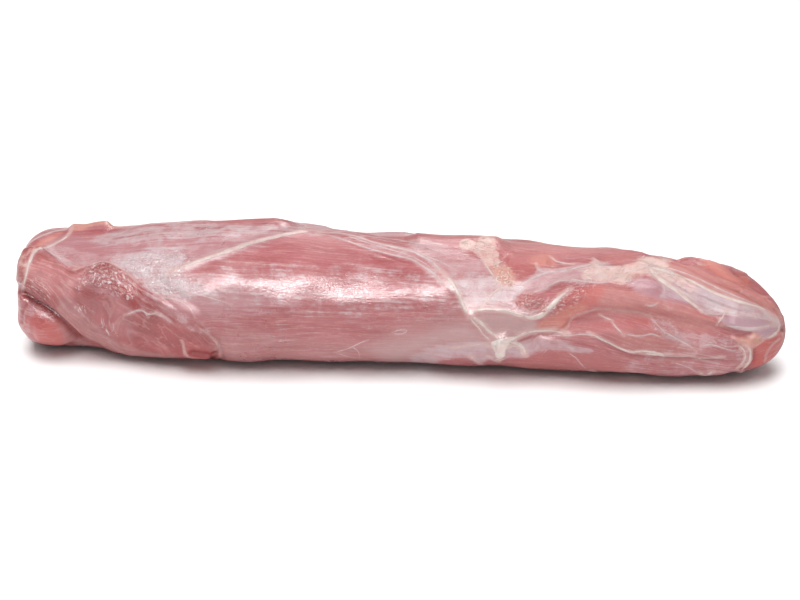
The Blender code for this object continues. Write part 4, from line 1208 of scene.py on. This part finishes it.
def strandMaterial(kind):
    pale, deep = strandLook[kind]
    finish = strandFinish
    m = Recipe(kind + "Strand")
    place = m.add("ShaderNodeTexCoord", {}, {}, 3)
    streaks = m.noise(place, *finish["streaks"])
    specks = m.noise(place, *finish["specks"])
    tone = (streaks * 0.7 + specks * 0.3).ramp(0.34, 0.62)
    m.feed(m.shader, {
        "Base Color": m.mix(tone, deep, pale),
        "Roughness": finish["roughness"] + specks * finish["uneven"],
        "Normal": m.bump(specks * 0.5 + streaks * 0.5, 0.5, finish["relief"]),
        "Specular IOR Level": finish["gloss"], "Subsurface Weight": finish["subsurface"],
        "Subsurface Radius": finish["subsurfaceReach"], "Subsurface Scale": 1.0, "IOR": 1.45,
    })
    return m.material


class Growth:
    # A Geometry Nodes tree whose named inputs are the entries of one dictionary of sizes
    def __init__(self, name, sizes):
        self.tree = bpy.data.node_groups.new(name, "GeometryNodeTree")
        self.name, self.sizes = name, sizes
        sockets = self.tree.interface
        sockets.new_socket("Geometry", in_out="INPUT", socket_type="NodeSocketGeometry")
        for label, value in sizes.items():
            kind = "NodeSocketInt" if isinstance(value, int) else "NodeSocketFloat"
            sockets.new_socket(label, in_out="INPUT", socket_type=kind)
        sockets.new_socket("Geometry", in_out="OUTPUT", socket_type="NodeSocketGeometry")
        self.given = self.tree.nodes.new("NodeGroupInput").outputs

    def add(self, kind, inputs, output=0, **settings):
        node = self.tree.nodes.new(kind)
        for key, value in settings.items():
            setattr(node, key, value)
        for key, value in inputs.items():
            if isinstance(value, bpy.types.NodeSocket):
                self.tree.links.new(value, node.inputs[key])
            else:
                node.inputs[key].default_value = value
        return node.outputs[output]

    def maths(self, operation, first, second):
        return self.add("ShaderNodeMath", {0: first, 1: second}, operation=operation)

    def named(self, name, kind="FLOAT"):
        return self.add("GeometryNodeInputNamedAttribute", {"Name": name}, data_type=kind)

    def chance(self, low, high, shift):
        seed = self.maths("ADD", self.given["seed"], shift)
        return self.add("FunctionNodeRandomValue", {2: low, 3: high, 8: seed}, 1, data_type="FLOAT")

    def shaken(self, geometry, scale, amount, along):
        wave = self.add("ShaderNodeTexNoise", {"W": self.given["seed"], "Scale": scale, "Detail": 2.0},
                        noise_dimensions="4D")
        size = self.maths("MULTIPLY", self.maths("SUBTRACT", wave, 0.5), amount)
        offset = self.add("ShaderNodeVectorMath", {0: along, "Scale": size}, operation="SCALE")
        return self.add("GeometryNodeSetPosition", {"Geometry": geometry, "Offset": offset})

    def piece(self, source, geometry, material):
        # Ends the tree, runs it on the source mesh and keeps the result as a plain mesh
        geometry = self.add("GeometryNodeSetShadeSmooth", {"Geometry": geometry})
        geometry = self.add("GeometryNodeRealizeInstances", {"Geometry": geometry})
        geometry = self.add("GeometryNodeSetMaterial", {"Geometry": geometry, "Material": material})
        self.tree.links.new(geometry, self.tree.nodes.new("NodeGroupOutput").inputs[0])
        holder = addObject(self.name + "Source", source)
        maker = holder.modifiers.new(self.name, "NODES")
        maker.node_group = self.tree
        for item in self.tree.interface.items_tree:
            if item.in_out == "INPUT" and item.name in self.sizes:
                maker[item.identifier] = self.sizes[item.name]
        graph = bpy.context.evaluated_depsgraph_get()
        made = bpy.data.meshes.new_from_object(holder.evaluated_get(graph))
        bpy.data.objects.remove(holder)
        return addObject(self.name, made)


def cordCourse(pixels, under):
    if pixels:
        return [onSkin(p, meatTree) for p in smoothLine(pixels, cordLay["spacing"])]
    return [atSkin(*p, meatTree) for p in smoothLine(under[0], cordLay["backSpacing"])]


def cordLines(kind):
    verts, edges, widths, lifts, sides = [], [], [], [], []
    for cordKind, width, pixels, *under in cords.values():
        if cordKind != kind:
            continue
        line = cordCourse(pixels, under)
        count = len(line)
        for i, (place, normal) in enumerate(line):
            share = i / (count - 1)
            end = width[0] if share < 0.5 else width[2]
            half = end + (width[1] - end) * math.sin(math.pi * share) ** cordLay["fullness"]
            half *= 1 + cordLay["uneven"] * noise.noise(place * cordLay["unevenScale"])
            taper = min(1.0, cordLay["tip"] + cordLay["taper"] * min(i, count - 1 - i) / count)
            sink = cordLay["sink"] + cordLay["tipSink"] * (1 - taper)
            ahead = line[min(i + 1, count - 1)][0] - line[max(i - 1, 0)][0]
            if i:
                edges.append((len(verts) - 1, len(verts)))
            verts.append(place - normal * half * mm * sink)
            widths.append(half * taper * mm)
            lifts.append(normal)
            sides.append(ahead.cross(normal).normalized())
    data = bpy.data.meshes.new(kind + "Lines")
    data.from_pydata(verts, edges, [])
    data.attributes.new("halfWidth", "FLOAT", "POINT").data.foreach_set("value", widths)
    for label, vectors in (("lift", lifts), ("sideways", sides)):
        flat = [c for v in vectors for c in v]
        data.attributes.new(label, "FLOAT_VECTOR", "POINT").data.foreach_set("vector", flat)
    return data


def cordPiece(kind):
    g = Growth(kind + "Cords", cordForm)
    given, halfWidth = g.given, g.named("halfWidth")
    line = g.shaken(given["Geometry"], given["wanderScale"], given["wander"],
                    g.named("sideways", "FLOAT_VECTOR"))
    line = g.add("GeometryNodeMeshToCurve", {"Mesh": line})
    line = g.add("GeometryNodeSetCurveNormal",
                 {"Curve": line, "Normal": g.named("lift", "FLOAT_VECTOR")}, mode="FREE")
    ring = g.add("GeometryNodeCurvePrimitiveCircle", {"Resolution": given["sides"], "Radius": 1.0})
    squeeze = g.add("ShaderNodeCombineXYZ", {"X": given["flatness"], "Y": 1.0, "Z": 1.0})
    ring = g.add("GeometryNodeTransform", {"Geometry": ring, "Scale": squeeze})
    tube = g.add("GeometryNodeCurveToMesh", {
        "Curve": line, "Profile Curve": ring, "Scale": halfWidth, "Fill Caps": True})
    tube = g.shaken(tube, given["lumpScale"], g.maths("MULTIPLY", given["lump"], halfWidth),
                    g.add("GeometryNodeInputNormal", {}))
    return g.piece(cordLines(kind), tube, strandMaterial(kind))


cordKinds = sorted({form[0] for form in cords.values()})
pieces = [cordPiece(kind) for kind in cordKinds]
print("cords laid:", {piece.name: len(piece.data.polygons) for piece in pieces})


# Loose strands of fat and film, and grains, strewn where their tissue shows. Half sizes in m,
# density to a square metre, turn in radians off the fibres.
strewn = {
    "fatStrands": ("fat", "fat", {
        "density": 260000.0, "length": 0.0017, "width": 0.0002, "thickness": 0.00004,
        "turn": 0.7, "bend": 0.0007, "bendScale": 380.0, "segments": 6, "rings": 8, "seed": 3}),
    "filmWisps": ("white", "filmy", {
        "density": 260000.0, "length": 0.0022, "width": 0.0001, "thickness": 0.00004,
        "turn": 0.3, "bend": 0.0008, "bendScale": 260.0, "segments": 5, "rings": 8, "seed": 11}),
    "peachGrains": ("peachGrain", "peach", {
        "density": 500000.0, "length": 0.0006, "width": 0.00045, "thickness": 0.0002,
        "turn": 1.5, "bend": 0.0004, "bendScale": 700.0, "segments": 8, "rings": 5, "seed": 5}),
    "redGrains": ("redGrain", "grainy", {
        "density": 340000.0, "length": 0.0005, "width": 0.0004, "thickness": 0.00018,
        "turn": 1.5, "bend": 0.0004, "bendScale": 700.0, "segments": 8, "rings": 6, "seed": 8}),
}
strewnSpread = {"length": (0.4, 1.6), "width": (0.5, 1.4), "thickness": (0.6, 1.3)}  # shares of it


def strewnPiece(name, colour, where, sizes):
    g = Growth(name, sizes)
    given = g.given
    often = g.maths("MULTIPLY", g.named(where + "Share"), given["density"])
    spots = {"Mesh": given["Geometry"], "Density": often, "Seed": given["seed"]}
    points = g.add("GeometryNodeDistributePointsOnFaces", spots)
    axes = {"Primary Axis": points.node.outputs["Normal"],
            "Secondary Axis": g.named("fibreWay", "FLOAT_VECTOR")}
    lying = g.add("FunctionNodeAxesToRotation", axes, primary_axis="Z", secondary_axis="X")
    swing = g.chance(g.maths("MULTIPLY", given["turn"], -1.0), given["turn"], 1)
    twist = g.add("FunctionNodeAxisAngleToRotation", {"Axis": (0.0, 0.0, 1.0), "Angle": swing})
    lying = g.add("FunctionNodeRotateRotation", {"Rotation": lying, "Rotate By": twist},
                  rotation_space="LOCAL")
    grain = g.add("GeometryNodeMeshUVSphere", {
        "Segments": given["segments"], "Rings": given["rings"], "Radius": 1.0})
    grain = g.add("GeometryNodeTransform", {"Geometry": grain, "Rotation": (0.0, math.pi / 2, 0.0)})
    spread = g.add("ShaderNodeCombineXYZ", {
        axis: g.maths("MULTIPLY", given[label], g.chance(*strewnSpread[label], shift))
        for shift, (axis, label) in enumerate(zip("XYZ", strewnSpread), 2)})
    strands = g.add("GeometryNodeInstanceOnPoints", {
        "Points": points, "Instance": grain, "Rotation": lying, "Scale": spread})
    strands = g.add("GeometryNodeRealizeInstances", {"Geometry": strands})
    wave = g.add("ShaderNodeTexNoise", {"Scale": given["bendScale"], "Detail": 1.0}, 1)
    swayed = g.add("ShaderNodeVectorMath", {0: wave, 1: (0.5, 0.5, 0.5)}, operation="SUBTRACT")
    offset = g.add("ShaderNodeVectorMath", {0: swayed, "Scale": given["bend"]}, operation="SCALE")
    strands = g.add("GeometryNodeSetPosition", {"Geometry": strands, "Offset": offset})
    return g.piece(meat.data.copy(), strands, strandMaterial(colour))


pieces += [strewnPiece(name, *form) for name, form in strewn.items()]
print("strands strewn:", {piece.name: len(piece.data.polygons) for piece in pieces[len(cordKinds):]})


# Floor and light
studio = {
    "floor": (0.97, 0.97, 0.97, 1.0), "floorRoughness": 0.8, "floorHalf": 6.0,
    "sky": 0.36, "aim": (0, 0, 0.02),
}
overhead = {"strength": 2.5, "spread": 46.0, "azimuth": 225, "elevation": 85, "distance": 1.5}
# Light boxes: energy in W, width and height in m, azimuth and elevation, distance in m. The
# fill only lights the meat, and the others only mirror in its wet skin.
lightBoxes = {
    "fill": (3.5, (0.5, 0.4), (-10, 58), 0.85),
    "shine": (9.4, (0.5, 0.2), (-6, 38), 0.85),
    "sheen": (1.3, (0.6, 0.3), (-14, 63), 0.85),
    "left": (2.2, (0.6, 0.25), (-66, 38), 0.85),
    "rear": (3.0, (0.6, 0.2), (170, 45), 0.9),
}


def addLight(name, kind, azimuth, elevation, distance):
    light = addObject(name, bpy.data.lights.new(name, kind))
    away = wayTo(azimuth, elevation)
    light.location = Vector(studio["aim"]) + away * distance
    light.rotation_euler = (-away).to_track_quat("-Z", "Y").to_euler()
    return light


def addStudio():
    world = bpy.data.worlds.new("studioWorld")
    bpy.context.scene.world = world
    world.use_nodes = True
    sky = world.node_tree.nodes["Background"].inputs
    sky["Color"].default_value = (1, 1, 1, 1)
    sky["Strength"].default_value = studio["sky"]
    data = bpy.data.meshes.new("studioFloor")
    half = studio["floorHalf"]
    corners = [(-half, -half, 0), (half, -half, 0), (half, half, 0), (-half, half, 0)]
    data.from_pydata(corners, [], [(0, 1, 2, 3)])
    floor = addObject("studioFloor", data)
    look = Recipe("paleFloor")
    look.feed(look.shader, {"Base Color": studio["floor"], "Roughness": studio["floorRoughness"]})
    data.materials.append(look.material)
    sun = addLight("overhead", "SUN", overhead["azimuth"], overhead["elevation"], overhead["distance"])
    sun.data.energy = overhead["strength"]
    sun.data.angle = math.radians(overhead["spread"])
    sun.visible_glossy = False
    for name, (energy, size, way, distance) in lightBoxes.items():
        box = addLight(name, "AREA", *way, distance)
        box.data.shape = "RECTANGLE"
        box.data.energy = energy
        box.data.size, box.data.size_y = size
        box.visible_glossy = name != "fill"
        box.visible_diffuse = name == "fill"


addStudio()
addCamera()
bpy.context.scene.view_settings.view_transform = "Standard"

for piece in [meat] + pieces:
    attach(piece, "root")
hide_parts("tenderloin")
